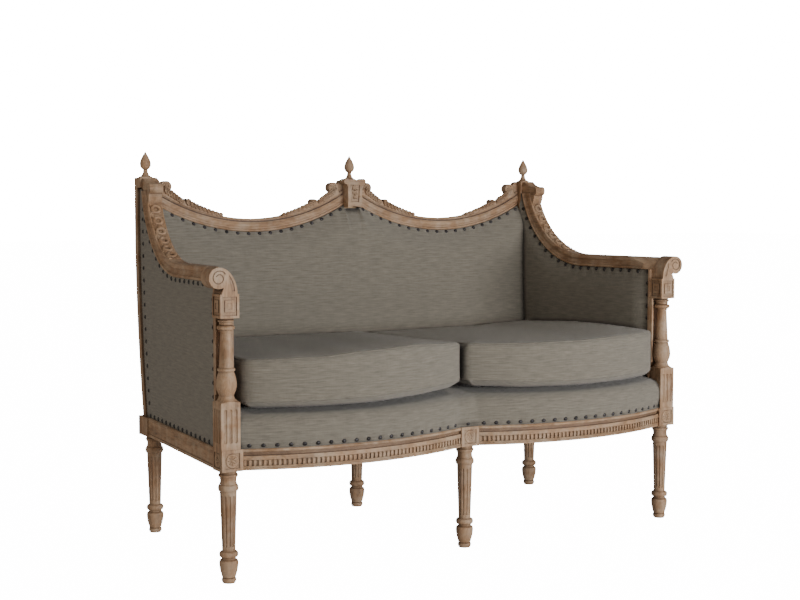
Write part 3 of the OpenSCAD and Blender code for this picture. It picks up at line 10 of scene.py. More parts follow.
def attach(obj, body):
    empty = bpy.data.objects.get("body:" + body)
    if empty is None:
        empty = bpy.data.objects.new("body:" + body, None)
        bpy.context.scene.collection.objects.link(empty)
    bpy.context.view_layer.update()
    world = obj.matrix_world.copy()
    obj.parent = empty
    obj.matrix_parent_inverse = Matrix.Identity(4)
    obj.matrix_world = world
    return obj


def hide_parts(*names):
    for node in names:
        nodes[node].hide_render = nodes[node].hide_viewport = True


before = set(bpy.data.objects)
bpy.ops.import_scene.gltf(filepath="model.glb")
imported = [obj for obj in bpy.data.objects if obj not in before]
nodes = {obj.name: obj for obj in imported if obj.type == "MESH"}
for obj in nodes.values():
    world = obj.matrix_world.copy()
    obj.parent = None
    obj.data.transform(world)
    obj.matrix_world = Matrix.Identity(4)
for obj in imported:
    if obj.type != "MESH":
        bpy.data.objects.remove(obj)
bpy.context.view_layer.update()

# Sizes repeated from the part's source, in millimetres, with the front legs at y = FRONT_Y
SHIFT_Y = 12.75
FRONT_X, FRONT_Y, BACK_Y = 630.0, -271.0, 271.0
LEG_SPAN = BACK_Y - FRONT_Y
SEAT_TOP, RAIL_Z0, DECK_TOP = 301.0, 253.0, 384.0
RAIL_FACE_Y, BOW_HALF, BOW_X, BOW_R = -291.5, 289.5, 315.0, 706.9
BOW_DEPTH = 62.0
BOW_Y = RAIL_FACE_Y - BOW_DEPTH + BOW_R
POST_INNER_X = 572.0
POST_HALF_T = 20.0
BACK_BOW_R, BACK_BOW_Z = 2850.0, 800.0
POST_TOP_Y = BACK_Y - 4.5 + BACK_BOW_R - math.sqrt(BACK_BOW_R ** 2 - (BACK_BOW_Z - SEAT_TOP) ** 2)
SWAG_X, SWAG_R = 297.0, 560.0
SWAG_Z = 769.0 + SWAG_R
ARM_BOTTOM, ARM_R, ARM_MEET_Z = 668.0, 270.0, 880.0
NAIL_END = math.radians(11.0)
ARM_Z = ARM_BOTTOM + ARM_R
PAD_FLOOR = 304.3
PAD_CROWN = 9.0
ARM_PAD_DEPTH, ARM_FRONT_THINNER, ARM_FRONT_RUN = 25.0, 13.0, 50.0
BACK_PAD_DEPTH, BACK_LEAN, LEAN_Z0, LEAN_RUN = 6.0, 14.0, 400.0, 400.0
CUSHION_GAP = 1.5
NAIL_PITCH, NAIL_RISE = 31.0, 6.5
ARM_TOE_IN = 35.0
ARM_SLOPE = ARM_TOE_IN / LEG_SPAN
ARM_ANGLE = math.atan(ARM_SLOPE)


def post_y(z):
    """Middle of the bowed back post."""
    return POST_TOP_Y - BACK_BOW_R + math.sqrt(BACK_BOW_R ** 2 - (z - BACK_BOW_Z) ** 2)


ARM_MEET_Y = post_y(ARM_MEET_Z) - POST_HALF_T
ARM_Y = ARM_MEET_Y - math.sqrt(ARM_R ** 2 - (ARM_Z - ARM_MEET_Z) ** 2)
ARM_SWEEP_END = math.acos((ARM_Z - ARM_MEET_Z) / ARM_R)
ARM_PAD_Y0 = FRONT_Y + 30.5 * math.cos(ARM_ANGLE) + 0.3


def arm_x(y):
    return FRONT_X - (y - FRONT_Y) * ARM_SLOPE


def arm_edge_z(y, gap=0.0):
    return ARM_BOTTOM - gap if y <= ARM_Y else ARM_Z - math.sqrt(max(0.0, (ARM_R + gap) ** 2 - (y - ARM_Y) ** 2))


def swag_edge_z(x):
    return SWAG_Z - math.sqrt(SWAG_R ** 2 - (abs(x) - SWAG_X) ** 2)


def seat_front_y(x):
    d = abs(abs(x) - BOW_X)
    return BOW_Y - math.sqrt(BOW_R ** 2 - d * d) if d < BOW_HALF else RAIL_FACE_Y


def clamp(t, lo=0.0, hi=1.0):
    return max(lo, min(hi, t))


def swell(t):
    """Flat-topped swelling, 0 at both ends of its run and 1 in between."""
    return 1.0 - (2.0 * clamp(t) - 1.0) ** 4


def back_face_y(z):
    return post_y(z) - POST_HALF_T - BACK_PAD_DEPTH - BACK_LEAN * clamp((z - LEAN_Z0) / LEAN_RUN)


def to_frame(p):
    """Millimetres of the leg layout to metres of the shared frame."""
    return Vector((p[0] * 0.001, (p[1] + SHIFT_Y) * 0.001, p[2] * 0.001))


# ---- Camera and studio


def add_camera():
    """Camera at the photograph's viewing angle."""
    data = bpy.data.cameras.new("camera")
    data.lens = 62.2
    data.sensor_width = 36.0
    data.clip_end = 100.0
    camera = bpy.data.objects.new("camera", data)
    bpy.context.scene.collection.objects.link(camera)
    camera.location = (-1.8666, -3.0662 + SHIFT_Y * 0.001, 0.8380)
    azimuth, elevation = math.radians(-31.03), math.radians(3.90)
    level = math.cos(elevation)
    back = Vector((math.sin(azimuth) * level, -math.cos(azimuth) * level, math.sin(elevation)))
    camera.rotation_mode = "QUATERNION"
    camera.rotation_quaternion = (-back).to_track_quat("-Z", "Y")
    bpy.context.scene.camera = camera


def add_softbox(name, place, aim, size, watts, colour):
    data = bpy.data.lights.new(name, "AREA")
    data.shape = "RECTANGLE"
    data.size, data.size_y = size
    data.energy = watts
    data.color = colour
    lamp = bpy.data.objects.new(name, data)
    bpy.context.scene.collection.objects.link(lamp)
    lamp.location = place
    lamp.rotation_mode = "QUATERNION"
    lamp.rotation_quaternion = (Vector(aim) - Vector(place)).to_track_quat("-Z", "Y")


def add_studio():
    """Pale floor, white surroundings and a large soft light low in front."""
    bpy.ops.mesh.primitive_plane_add(size=60.0, location=(0.0, 0.0, 0.0))
    floor = bpy.context.object
    floor.name = "studio_floor"
    material = bpy.data.materials.new("floor_white")
    material.use_nodes = True
    tree = material.node_tree
    shader = tree.nodes["Principled BSDF"]
    shader.inputs["Base Color"].default_value = (0.9, 0.9, 0.9, 1.0)
    shader.inputs["Roughness"].default_value = 0.9
    glow = tree.nodes.new("ShaderNodeEmission")
    glow.inputs["Strength"].default_value = 26.0
    seen = tree.nodes.new("ShaderNodeLightPath")
    share = tree.nodes.new("ShaderNodeMath")
    share.operation = "MULTIPLY"
    share.inputs[1].default_value = 0.6
    tree.links.new(seen.outputs["Is Camera Ray"], share.inputs[0])
    blend = tree.nodes.new("ShaderNodeMixShader")
    tree.links.new(share.outputs[0], blend.inputs["Fac"])
    tree.links.new(shader.outputs["BSDF"], blend.inputs[1])
    tree.links.new(glow.outputs["Emission"], blend.inputs[2])
    tree.links.new(blend.outputs["Shader"], tree.nodes["Material Output"].inputs["Surface"])
    floor.data.materials.append(material)
    world = bpy.data.worlds.new("studio_air")
    bpy.context.scene.world = world
    world.use_nodes = True
    air = world.node_tree
    backdrop = air.nodes["Background"]
    backdrop.inputs["Color"].default_value = (1.0, 1.0, 1.0, 1.0)
    backdrop.inputs["Strength"].default_value = 24.0
    ambient = air.nodes.new("ShaderNodeBackground")
    ambient.inputs["Color"].default_value = (1.0, 0.97, 0.93, 1.0)
    ambient.inputs["Strength"].default_value = 0.21
    seen = air.nodes.new("ShaderNodeLightPath")
    blend = air.nodes.new("ShaderNodeMixShader")
    air.links.new(seen.outputs["Is Camera Ray"], blend.inputs["Fac"])
    air.links.new(ambient.outputs["Background"], blend.inputs[1])
    air.links.new(backdrop.outputs["Background"], blend.inputs[2])
    air.links.new(blend.outputs["Shader"], air.nodes["World Output"].inputs["Surface"])
    add_softbox("front_softbox", (1.2, -4.6, 0.85), (0.0, 0.0, 0.5), (2.6, 1.0), 204.0, (1.0, 0.97, 0.93))
    add_softbox("left_fill", (-4.6, -0.5, 1.8), (0.0, 0.0, 0.5), (2.0, 1.6), 31.0, (1.0, 0.83, 0.61))


# ---- Shader node groups


class Nodes:
    """A node tree with short ways to add and join nodes."""

    def add(self, kind, **values):
        node = self.tree.nodes.new(kind)
        for key, value in values.items():
            setattr(node, key, value)
        return node

    def join(self, a, b):
        self.tree.links.new(a, b)

    def ranged(self, value, start, end, low, high):
        """Carries a value from start to end over to low to high."""
        node = self.add("ShaderNodeMapRange")
        for key, number in (("From Min", start), ("From Max", end), ("To Min", low), ("To Max", high)):
            node.inputs[key].default_value = number
        self.join(value, node.inputs["Value"])
        return node.outputs["Result"]


class Group(Nodes):
    """A shader node group with named sockets."""

    def __init__(self, name, inputs, outputs):
        self.tree = bpy.data.node_groups.new(name, "ShaderNodeTree")
        for label, kind, value in inputs:
            socket = self.tree.interface.new_socket(label, in_out="INPUT", socket_type=kind)
            if value is not None:
                socket.default_value = value
        for label, kind in outputs:
            self.tree.interface.new_socket(label, in_out="OUTPUT", socket_type=kind)
        self.source = self.tree.nodes.new("NodeGroupInput").outputs
        self.sink = self.tree.nodes.new("NodeGroupOutput").inputs

    def math(self, operation, *terms):
        node = self.add("ShaderNodeMath", operation=operation)
        for i, term in enumerate(terms):
            if isinstance(term, (int, float)):
                node.inputs[i].default_value = term
            else:
                self.join(term, node.inputs[i])
        return node.outputs[0]

    def noise(self, vector, scale, detail, roughness):
        node = self.add("ShaderNodeTexNoise")
        node.inputs["Scale"].default_value = scale
        node.inputs["Detail"].default_value = detail
        node.inputs["Roughness"].default_value = roughness
        self.join(vector, node.inputs["Vector"])
        return node.outputs["Fac"]


def make_grain_group():
    """Long wood fibres and short open pores along the stretched direction."""
    g = Group("wood_fibres", [("Vector", "NodeSocketVector", None), ("Pores", "NodeSocketFloat", 0.5)],
              [("Fibres", "NodeSocketFloat"), ("Pits", "NodeSocketFloat")])
    broad = g.noise(g.source["Vector"], 1.0, 5.0, 0.6)
    fine = g.noise(g.source["Vector"], 4.5, 3.0, 0.7)
    mixed = g.math("ADD", g.math("MULTIPLY", broad, 0.62), g.math("MULTIPLY", fine, 0.38))
    g.join(mixed, g.sink["Fibres"])
    pits = g.noise(g.source["Vector"], 11.0, 2.0, 0.5)
    cut = g.math("SUBTRACT", 1.0, g.math("MULTIPLY", g.math("GREATER_THAN", pits, 0.62), g.source["Pores"]))
    g.join(cut, g.sink["Pits"])
    return g.tree


def make_recess_shade_group():
    """Painted shade that darkens the recesses, from ambient occlusion, and a chalky bloom on what stands proud."""
    g = Group("painted_recess_shade_and_bloom", [("Vector", "NodeSocketVector", None), ("Reach", "NodeSocketFloat", 0.014)],
              [("RecessShade", "NodeSocketFloat"), ("Bloom", "NodeSocketFloat")])
    hollow = g.add("ShaderNodeAmbientOcclusion", samples=6, only_local=True)
    g.join(g.source["Reach"], hollow.inputs["Distance"])
    # painted shade mask: the more ambient occlusion closes a point in, the darker it is painted
    dark = g.ranged(hollow.outputs["AO"], 0.45, 0.95, 1.0, 0.0)
    g.join(dark, g.sink["RecessShade"])
    soft = g.ranged(g.noise(g.source["Vector"], 22.0, 4.0, 0.62), 0.42, 0.68, 0.0, 1.0)
    g.join(g.math("MULTIPLY", soft, g.math("SUBTRACT", 1.0, dark)), g.sink["Bloom"])
    return g.tree


def make_gap_shade_group():
    """Painted shade mask from ambient occlusion: 1 deep inside narrow gaps between cushions and 0 on open cloth."""
    g = Group("painted_gap_shade", [("Reach", "NodeSocketFloat", 0.04)], [("GapShade", "NodeSocketFloat")])
    hollow = g.add("ShaderNodeAmbientOcclusion", samples=8, only_local=False)
    g.join(g.source["Reach"], hollow.inputs["Distance"])
    g.join(g.ranged(hollow.outputs["AO"], 0.40, 0.86, 1.0, 0.0), g.sink["GapShade"])
    return g.tree


def make_cloth_place_group():
    """Coordinates across the cloth, taken from the plane that the surface faces."""
    g = Group("cloth_place", [("Position", "NodeSocketVector", None), ("Facing", "NodeSocketVector", None)],
              [("Across", "NodeSocketFloat"), ("Along", "NodeSocketFloat")])
    place = g.add("ShaderNodeSeparateXYZ")
    g.join(g.source["Position"], place.inputs[0])
    away = g.add("ShaderNodeVectorMath", operation="ABSOLUTE")
    g.join(g.source["Facing"], away.inputs[0])
    face = g.add("ShaderNodeSeparateXYZ")
    g.join(away.outputs[0], face.inputs[0])
    x, y, z = place.outputs
    fx, fy, fz = face.outputs
    sideways = g.math("GREATER_THAN", fx, g.math("MAXIMUM", fy, fz))
    upward = g.math("GREATER_THAN", fz, g.math("MAXIMUM", fx, fy))

    def choose(share, a, b):
        return g.math("ADD", g.math("MULTIPLY", a, share), g.math("MULTIPLY", b, g.math("SUBTRACT", 1.0, share)))

    g.join(choose(sideways, y, x), g.sink["Across"])
    g.join(choose(upward, y, z), g.sink["Along"])
    return g.tree


def make_weave_group():
    """Plain weave: crossing threads, slubs that run along them, and uneven dye."""
    g = Group("plain_weave",
              [("Across", "NodeSocketFloat", 0.0), ("Along", "NodeSocketFloat", 0.0),
               ("Threads", "NodeSocketFloat", 900.0)],
              [("Height", "NodeSocketFloat"), ("Slub", "NodeSocketFloat"), ("Dye", "NodeSocketFloat")])
    u, v = g.source["Across"], g.source["Along"]
    turns = g.math("MULTIPLY", g.source["Threads"], math.pi)
    su = g.math("SINE", g.math("MULTIPLY", u, turns))
    sv = g.math("SINE", g.math("MULTIPLY", v, turns))
    over = g.math("GREATER_THAN", g.math("MULTIPLY", su, sv), 0.0)
    warp = g.math("MULTIPLY", g.math("ABSOLUTE", su), over)
    weft = g.math("MULTIPLY", g.math("ABSOLUTE", sv), g.math("SUBTRACT", 1.0, over))
    threads = g.math("ADD", warp, weft)
    flat = g.add("ShaderNodeCombineXYZ")
    g.join(g.math("MULTIPLY", u, 26.0), flat.inputs[0])
    g.join(g.math("MULTIPLY", v, 260.0), flat.inputs[1])
    weft_slub = g.noise(flat.outputs[0], 1.0, 3.0, 0.65)
    tall = g.add("ShaderNodeCombineXYZ")
    g.join(g.math("MULTIPLY", u, 420.0), tall.inputs[0])
    g.join(g.math("MULTIPLY", v, 26.0), tall.inputs[1])
    warp_slub = g.noise(tall.outputs[0], 1.0, 3.0, 0.65)
    slub = g.math("ADD", g.math("MULTIPLY", weft_slub, 0.82), g.math("MULTIPLY", warp_slub, 0.18))
    g.join(g.math("ADD", g.math("MULTIPLY", threads, 0.5), g.math("MULTIPLY", slub, 0.8)), g.sink["Height"])
    g.join(slub, g.sink["Slub"])
    cloud = g.add("ShaderNodeCombineXYZ")
    g.join(g.math("MULTIPLY", u, 30.0), cloud.inputs[0])
    g.join(g.math("MULTIPLY", v, 85.0), cloud.inputs[1])
    g.join(g.noise(cloud.outputs[0], 1.0, 5.0, 0.7), g.sink["Dye"])
    return g.tree


GRAIN = make_grain_group()
RECESS_SHADE = make_recess_shade_group()
GAP_SHADE = make_gap_shade_group()
CLOTH_PLACE = make_cloth_place_group()
WEAVE = make_weave_group()


class Finish(Nodes):
    """A material with its Principled shader."""

    def __init__(self, name, roughness, **sockets):
        self.material = bpy.data.materials.new(name)
        self.material.use_nodes = True
        self.tree = self.material.node_tree
        self.shader = self.tree.nodes["Principled BSDF"]
        self.shader.inputs["Roughness"].default_value = roughness
        for key, value in sockets.items():
            self.shader.inputs[key.replace("_", " ")].default_value = value
        self.where = self.tree.nodes.new("ShaderNodeTexCoord").outputs

    def group(self, tree, **values):
        node = self.add("ShaderNodeGroup", node_tree=tree)
        for key, value in values.items():
            node.inputs[key].default_value = value
        return node

    def stretched(self, scale, turn=(0.0, 0.0, 0.0)):
        node = self.add("ShaderNodeMapping")
        node.inputs["Scale"].default_value = scale
        node.inputs["Rotation"].default_value = turn
        self.join(self.where["Object"], node.inputs["Vector"])
        return node.outputs["Vector"]

    def ramp(self, value, stops):
        node = self.add("ShaderNodeValToRGB")
        bar = node.color_ramp
        while len(bar.elements) < len(stops):
            bar.elements.new(0.5)
        for element, (place, colour) in zip(bar.elements, stops):
            element.position = place
            element.color = (*colour, 1.0)
        self.join(value, node.inputs["Fac"])
        return node.outputs["Color"]

    def blend(self, share, a, b):
        """Colour a where the share is 0, colour b where it is 1."""
        node = self.add("ShaderNodeMix", data_type="RGBA")
        sockets = [s for s in node.inputs if s.enabled]
        self.join(share, sockets[0])
        for socket, value in zip(sockets[1:], (a, b)):
            if isinstance(value, tuple):
                socket.default_value = (*value, 1.0)
            else:
                self.join(value, socket)
        return [s for s in node.outputs if s.enabled][0]

    def scaled(self, value, low, high):
        return self.ranged(value, 0.0, 1.0, low, high)

    def bump(self, height, strength, distance):
        node = self.add("ShaderNodeBump")
        node.inputs["Strength"].default_value = strength
        node.inputs["Distance"].default_value = distance
        self.join(height, node.inputs["Height"])
        self.join(node.outputs["Normal"], self.shader.inputs["Normal"])


# Colours are linear
WOOD_DARK = (0.105, 0.058, 0.030)
WOOD_MID = (0.300, 0.176, 0.097)
WOOD_PALE = (0.460, 0.297, 0.180)
WOOD_BLOOM = (0.520, 0.412, 0.305)
# painted shade colour laid into the wood's recesses
WOOD_RECESS_SHADE = (0.060, 0.034, 0.019)
# near-black painted shade for deep gaps in the cloth
CLOTH_GAP_SHADE = (0.012, 0.010, 0.008)


def make_carved_wood(name, scale, turn=(0.0, 0.0, 0.0), bloom=0.55):
    """Weathered, limed hardwood with grain along the stretched direction, and painted shade in its recesses."""
    f = Finish(name, 0.62)
    fibres = f.group(GRAIN, Pores=0.5)
    f.join(f.stretched(scale, turn), fibres.inputs["Vector"])
    hollow = f.group(RECESS_SHADE, Reach=0.016)
    f.join(f.where["Object"], hollow.inputs["Vector"])
    base = f.ramp(fibres.outputs["Fibres"], [(0.28, WOOD_DARK), (0.47, WOOD_MID), (0.66, WOOD_PALE)])
    limed = f.blend(f.scaled(hollow.outputs["Bloom"], 0.0, bloom), base, WOOD_BLOOM)
    # painted shade: recesses are darkened towards near black by the ambient occlusion mask
    recess_shaded = f.blend(f.scaled(hollow.outputs["RecessShade"], 0.0, 0.85), limed, WOOD_RECESS_SHADE)
    f.join(f.blend(f.scaled(fibres.outputs["Pits"], 0.45, 0.0), recess_shaded, WOOD_DARK), f.shader.inputs["Base Color"])
    f.join(f.scaled(fibres.outputs["Fibres"], 0.5, 0.78), f.shader.inputs["Roughness"])
    f.bump(fibres.outputs["Fibres"], 0.35, 0.0006)
    return f.material


def make_raw_wood(name):
    f = Finish(name, 0.75)
    fibres = f.group(GRAIN, Pores=0.3)
    f.join(f.stretched((10.0, 90.0, 90.0)), fibres.inputs["Vector"])
    plain = f.ramp(fibres.outputs["Fibres"], [(0.3, (0.28, 0.18, 0.10)), (0.7, (0.50, 0.36, 0.21))])
    f.join(plain, f.shader.inputs["Base Color"])
    f.bump(fibres.outputs["Fibres"], 0.3, 0.0006)
    return f.material


def make_cloth(name, dark, pale, warm, threads, sheen=0.25):
    """Plain-woven cloth with slubs and uneven dye, with painted shade deep in a gap."""
    f = Finish(name, 0.92, Sheen_Weight=sheen, Sheen_Roughness=0.6, Specular_IOR_Level=0.25)
    place = f.group(CLOTH_PLACE)
    f.join(f.where["Object"], place.inputs["Position"])
    f.join(f.where["Normal"], place.inputs["Facing"])
    weave = f.group(WEAVE, Threads=threads)
    f.join(place.outputs["Across"], weave.inputs["Across"])
    f.join(place.outputs["Along"], weave.inputs["Along"])
    middle = tuple((a + b) / 2 for a, b in zip(dark, pale))
    yarn = f.ramp(weave.outputs["Slub"], [(0.30, dark), (0.52, middle), (0.72, pale)])
    dyed = f.blend(f.scaled(weave.outputs["Dye"], 0.0, 0.75), yarn, warm)
    # painted shade: the cloth is blended towards near black where ambient occlusion finds a deep gap
    gap = f.group(GAP_SHADE, Reach=0.022)
    f.join(f.blend(f.scaled(gap.outputs["GapShade"], 0.0, 0.96), dyed, CLOTH_GAP_SHADE), f.shader.inputs["Base Color"])
    f.bump(weave.outputs["Height"], 0.55, 0.0005)
    return f.material


def make_metal(name, dark, pale, roughness):
    f = Finish(name, roughness, Metallic=0.9)
    patches = f.add("ShaderNodeTexNoise")
    patches.inputs["Scale"].default_value = 180.0
    patches.inputs["Detail"].default_value = 3.0
    f.join(f.where["Object"], patches.inputs["Vector"])
    f.join(f.ramp(patches.outputs["Fac"], [(0.35, dark), (0.7, pale)]), f.shader.inputs["Base Color"])
    f.join(f.scaled(patches.outputs["Fac"], roughness - 0.1, roughness + 0.15), f.shader.inputs["Roughness"])
    return f.material


def make_foam(name):
    f = Finish(name, 0.95)
    cells = f.add("ShaderNodeTexVoronoi")
    cells.inputs["Scale"].default_value = 900.0
    f.join(f.where["Object"], cells.inputs["Vector"])
    plain = f.ramp(cells.outputs["Distance"], [(0.1, (0.62, 0.56, 0.38)), (0.6, (0.80, 0.75, 0.55))])
    f.join(plain, f.shader.inputs["Base Color"])
    f.bump(cells.outputs["Distance"], 0.4, 0.0008)
    return f.material


UPRIGHT = make_carved_wood("limed_wood_upright", (75.0, 75.0, 7.0))
CROSSWISE = make_carved_wood("limed_wood_crosswise", (7.0, 75.0, 75.0))
ENDWISE = make_carved_wood("limed_wood_endwise", (75.0, 7.0, 75.0))
RAW_WOOD = make_raw_wood("raw_wood")
LINEN = make_cloth("grey_linen", (0.112, 0.102, 0.083), (0.285, 0.260, 0.214), (0.185, 0.171, 0.147), 850.0)
JUTE = make_cloth("jute", (0.10, 0.07, 0.04), (0.32, 0.24, 0.14), (0.22, 0.16, 0.09), 260.0, 0.1)
DUST_CLOTH = make_cloth("dust_cloth", (0.012, 0.012, 0.012), (0.03, 0.03, 0.03), (0.02, 0.02, 0.02), 700.0, 0.05)
PEWTER = make_metal("nail_pewter", (0.035, 0.033, 0.034), (0.10, 0.098, 0.105), 0.58)
STEEL = make_metal("plain_steel", (0.35, 0.35, 0.36), (0.6, 0.6, 0.62), 0.35)
FOAM = make_foam("foam")

CROSSWISE_NODES = ("front_rail", "crest_rail", "centre_pier")
ENDWISE_NODES = ("side_rail", "arm_rail")
RAW_NODES = ("back_rail", "seat_cross_rail", "corner_braces", "back_lower_rail", "back_stile")


def finish_for(name):
    if name.startswith("nails"):
        return PEWTER
    if name == "brace_bolts":
        return STEEL
    if name.startswith("cushion_core"):
        return FOAM
    if "webbing" in name or "hessian" in name:
        return JUTE
    if name == "dust_cover":
        return DUST_CLOTH
    if name.startswith(RAW_NODES):
        return RAW_WOOD
    if "cushion" in name or "pad" in name or "panel" in name or name == "seat_deck":
        return LINEN
    if name.startswith(CROSSWISE_NODES):
        return CROSSWISE
    if name.startswith(ENDWISE_NODES):
        return ENDWISE
    return UPRIGHT


def dress_frame():
    for name, part in nodes.items():
        for slot in part.material_slots:
            slot.material = finish_for(name)


# ---- Mesh helpers


def only(piece):
    bpy.ops.object.select_all(action="DESELECT")
    piece.select_set(True)
    bpy.context.view_layer.objects.active = piece


def settle(piece, name, material, body="frame", angle=40.0):
    only(piece)
    bpy.ops.object.transform_apply(location=True, rotation=True, scale=True)
    bpy.ops.object.mode_set(mode="EDIT")
    bpy.ops.mesh.select_all(action="SELECT")
    bpy.ops.mesh.normals_make_consistent(inside=False)
    bpy.ops.object.mode_set(mode="OBJECT")
    bpy.ops.object.shade_smooth_by_angle(angle=math.radians(angle))
    piece.name = name
    piece.data.name = name
    piece.data.materials.clear()
    piece.data.materials.append(material)
    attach(piece, body)
    return piece


def sheet_pad(across, upward, face, rear, place=to_frame):
    """Closed pad between a face and a rear sheet, each a function of its share across and up."""
    bpy.ops.mesh.primitive_grid_add(x_subdivisions=across, y_subdivisions=upward, size=2.0)
    piece = bpy.context.object
    shell = bmesh.new()
    shell.from_mesh(piece.data)
    shares = {v.index: ((v.co.x + 1.0) / 2.0, (v.co.y + 1.0) / 2.0) for v in shell.verts}
    front = list(shell.verts)
    rim = [e for e in shell.edges if e.is_boundary]
    back = [shell.verts.new(v.co) for v in front]
    shell.verts.index_update()
    twin = dict(zip(front, back))
    for f in list(shell.faces):
        shell.faces.new([twin[v] for v in reversed(f.verts)])
    for e in rim:
        a, b = e.verts
        shell.faces.new((a, b, twin[b], twin[a]))
    for i, v in enumerate(front):
        s, t = shares[i]
        v.co = place(face(s, t))
        back[i].co = place(rear(s, t))
    shell.to_mesh(piece.data)
    shell.free()
    return piece


def nail_pull(count_share, distance, puff=4.2, reach=17.0):
    """How far cloth puffs out between two nails; at a nail it is drawn in a little."""
    wave = math.cos(2.0 * math.pi * count_share)
    return (puff * (1.0 - wave) / 2.0 - 0.35) * math.exp(-((abs(distance) / reach) ** 1.5))


# ---- Tight upholstery

LOW_ROWS = 0.16


def back_top_z(x):
    return (849.0 - 17.0 if abs(x) <= 22.3 else swag_edge_z(x)) - 0.65


def back_half_x(z):
    return min(POST_INNER_X, arm_x(post_y(z) - POST_HALF_T) - ARM_PAD_DEPTH) - 0.5


def row_z(t, top):
    """Height of a pad's row: its lowest rows lie below the deck, the others share out the rest."""
    if t < LOW_ROWS:
        return PAD_FLOOR + (DECK_TOP - PAD_FLOOR) * t / LOW_ROWS
    return DECK_TOP + (top - DECK_TOP) * (t - LOW_ROWS) / (1.0 - LOW_ROWS)


SWAG_REACH = math.asin((POST_INNER_X - SWAG_X - 16.0) / SWAG_R)
SWAG_NAILS = round(2 * SWAG_REACH * SWAG_R / NAIL_PITCH)


def back_place(s, t):
    u = 2.0 * s - 1.0
    z = row_z(t, 775.0)
    x = u * back_half_x(z)
    z = row_z(t, back_top_z(x))
    x = u * back_half_x(z)
    return x, row_z(t, back_top_z(x))


def back_face(s, t):
    x, z = back_place(s, t)
    top = back_top_z(x)
    roll = math.sin(math.pi / 2 * min(1.0, (top - z) / 70.0))
    side = post_y(z) - back_face_y(z)
    crown = PAD_CROWN * (1.0 - (x / POST_INNER_X) ** 4) * swell((z - DECK_TOP) / (top - DECK_TOP))
    angle = math.asin(clamp((abs(x) - SWAG_X) / SWAG_R, -1.0, 1.0))
    share = (angle + SWAG_REACH) / (2 * SWAG_REACH) * SWAG_NAILS
    pull = nail_pull(share, top - z) if abs(angle) < SWAG_REACH * 1.04 else 0.0
    return (x, post_y(z) - 8.5 - (side - 8.5) * roll - crown * roll - pull, z)


def back_rear(s, t):
    x, z = back_place(s, t)
    return (x, post_y(z) - 6.3, z)


def arm_pad_y(s, z):
    return ARM_PAD_Y0 + s * (post_y(z) - POST_HALF_T - 0.6 - ARM_PAD_Y0)


def arm_pad_z(y, t):
    return row_z(t, arm_edge_z(y, 0.65))


def arm_place(s, t):
    y = arm_pad_y(s, row_z(t, ARM_MEET_Z))
    for _ in range(3):
        y = arm_pad_y(s, arm_pad_z(y, t))
    return y, arm_pad_z(y, t)


def arm_front_roll(y):
    return math.sin(math.pi / 2 * clamp((y - ARM_PAD_Y0) / ARM_FRONT_RUN))


def arm_side_depth(y):
    return ARM_PAD_DEPTH - ARM_FRONT_THINNER * (1.0 - arm_front_roll(y))


def arm_crown_at(y, z):
    return PAD_CROWN * swell((y - ARM_PAD_Y0) / (back_face_y(z) - ARM_PAD_Y0 - 2.0))


ARM_NAIL_Y0 = ARM_PAD_Y0 + NAIL_RISE
ARM_STRAIGHT = round((ARM_Y - ARM_NAIL_Y0) / NAIL_PITCH)
ARM_SWEPT = math.floor((ARM_SWEEP_END - NAIL_END) * (ARM_R + NAIL_RISE) / NAIL_PITCH)


def arm_depth(y, z):
    top = arm_edge_z(y)
    roll = math.sin(math.pi / 2 * clamp((top - z) / 60.0))
    depth = arm_side_depth(y) - 8.0 * (1.0 - roll) * arm_front_roll(y)
    depth += arm_crown_at(y, z) * swell((z - DECK_TOP) / (top - DECK_TOP))
    if y < ARM_Y:
        share = (y - ARM_NAIL_Y0) / (ARM_Y - ARM_NAIL_Y0) * ARM_STRAIGHT
        distance = top - z
    else:
        angle = math.atan2(y - ARM_Y, ARM_Z - z)
        share = angle / (ARM_SWEEP_END - NAIL_END) * ARM_SWEPT
        distance = math.hypot(y - ARM_Y, ARM_Z - z) - ARM_R
    depth += nail_pull(share, distance, 3.6)
    depth += clamp((z - 520.0) / 20.0) * nail_pull((ARM_BOTTOM - NAIL_RISE - z) / NAIL_PITCH, y - ARM_PAD_Y0, 2.4)
    return depth


def add_arm_pad(side, name):
    def face(s, t):
        y, z = arm_place(s, t)
        return (side * (arm_x(y) - arm_depth(y, z)), y, z)

    def rear(s, t):
        y, z = arm_place(s, t)
        return (side * (arm_x(y) - 5.0), y, z)

    piece = settle(sheet_pad(120, 110, face, rear), name, LINEN, angle=60.0)
    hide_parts(name)


DECK_PROFILE = ((-7.0, -0.5), (-3.0, 0.0), (1.0, 4.0), (-1.0, 12.0), (-3.5, 24.0), (-4.8, 38.0), (-3.6, 51.0),
                (0.5, 61.5), (8.0, 69.5), (22.0, 74.5), (46.0, 78.0), (85.0, 82.7))
DECK_SPAN = math.asin(BOW_HALF / BOW_R)
DECK_NAILS = round(2 * DECK_SPAN * (BOW_R - 6.0) / NAIL_PITCH)


def deck_half_x(y):
    return arm_x(y) - max(21.5, arm_side_depth(y)) / math.cos(ARM_ANGLE) - 0.3


def smooth_profile(profile, steps):
    """Points along a smooth curve through a list of points."""
    pts = np.array(profile)
    out = []
    for i in range(len(pts) - 1):
        p0, p1, p2, p3 = pts[max(0, i - 1)], pts[i], pts[i + 1], pts[min(len(pts) - 1, i + 2)]
        for k in range(steps):
            t = k / steps
            square, cube = 2 * p0 - 5 * p1 + 4 * p2 - p3, 3 * p1 - p0 - 3 * p2 + p3
            out.append(0.5 * ((2 * p1) + (p2 - p0) * t + square * t * t + cube * t ** 3))
    out.append(pts[-1])
    return out


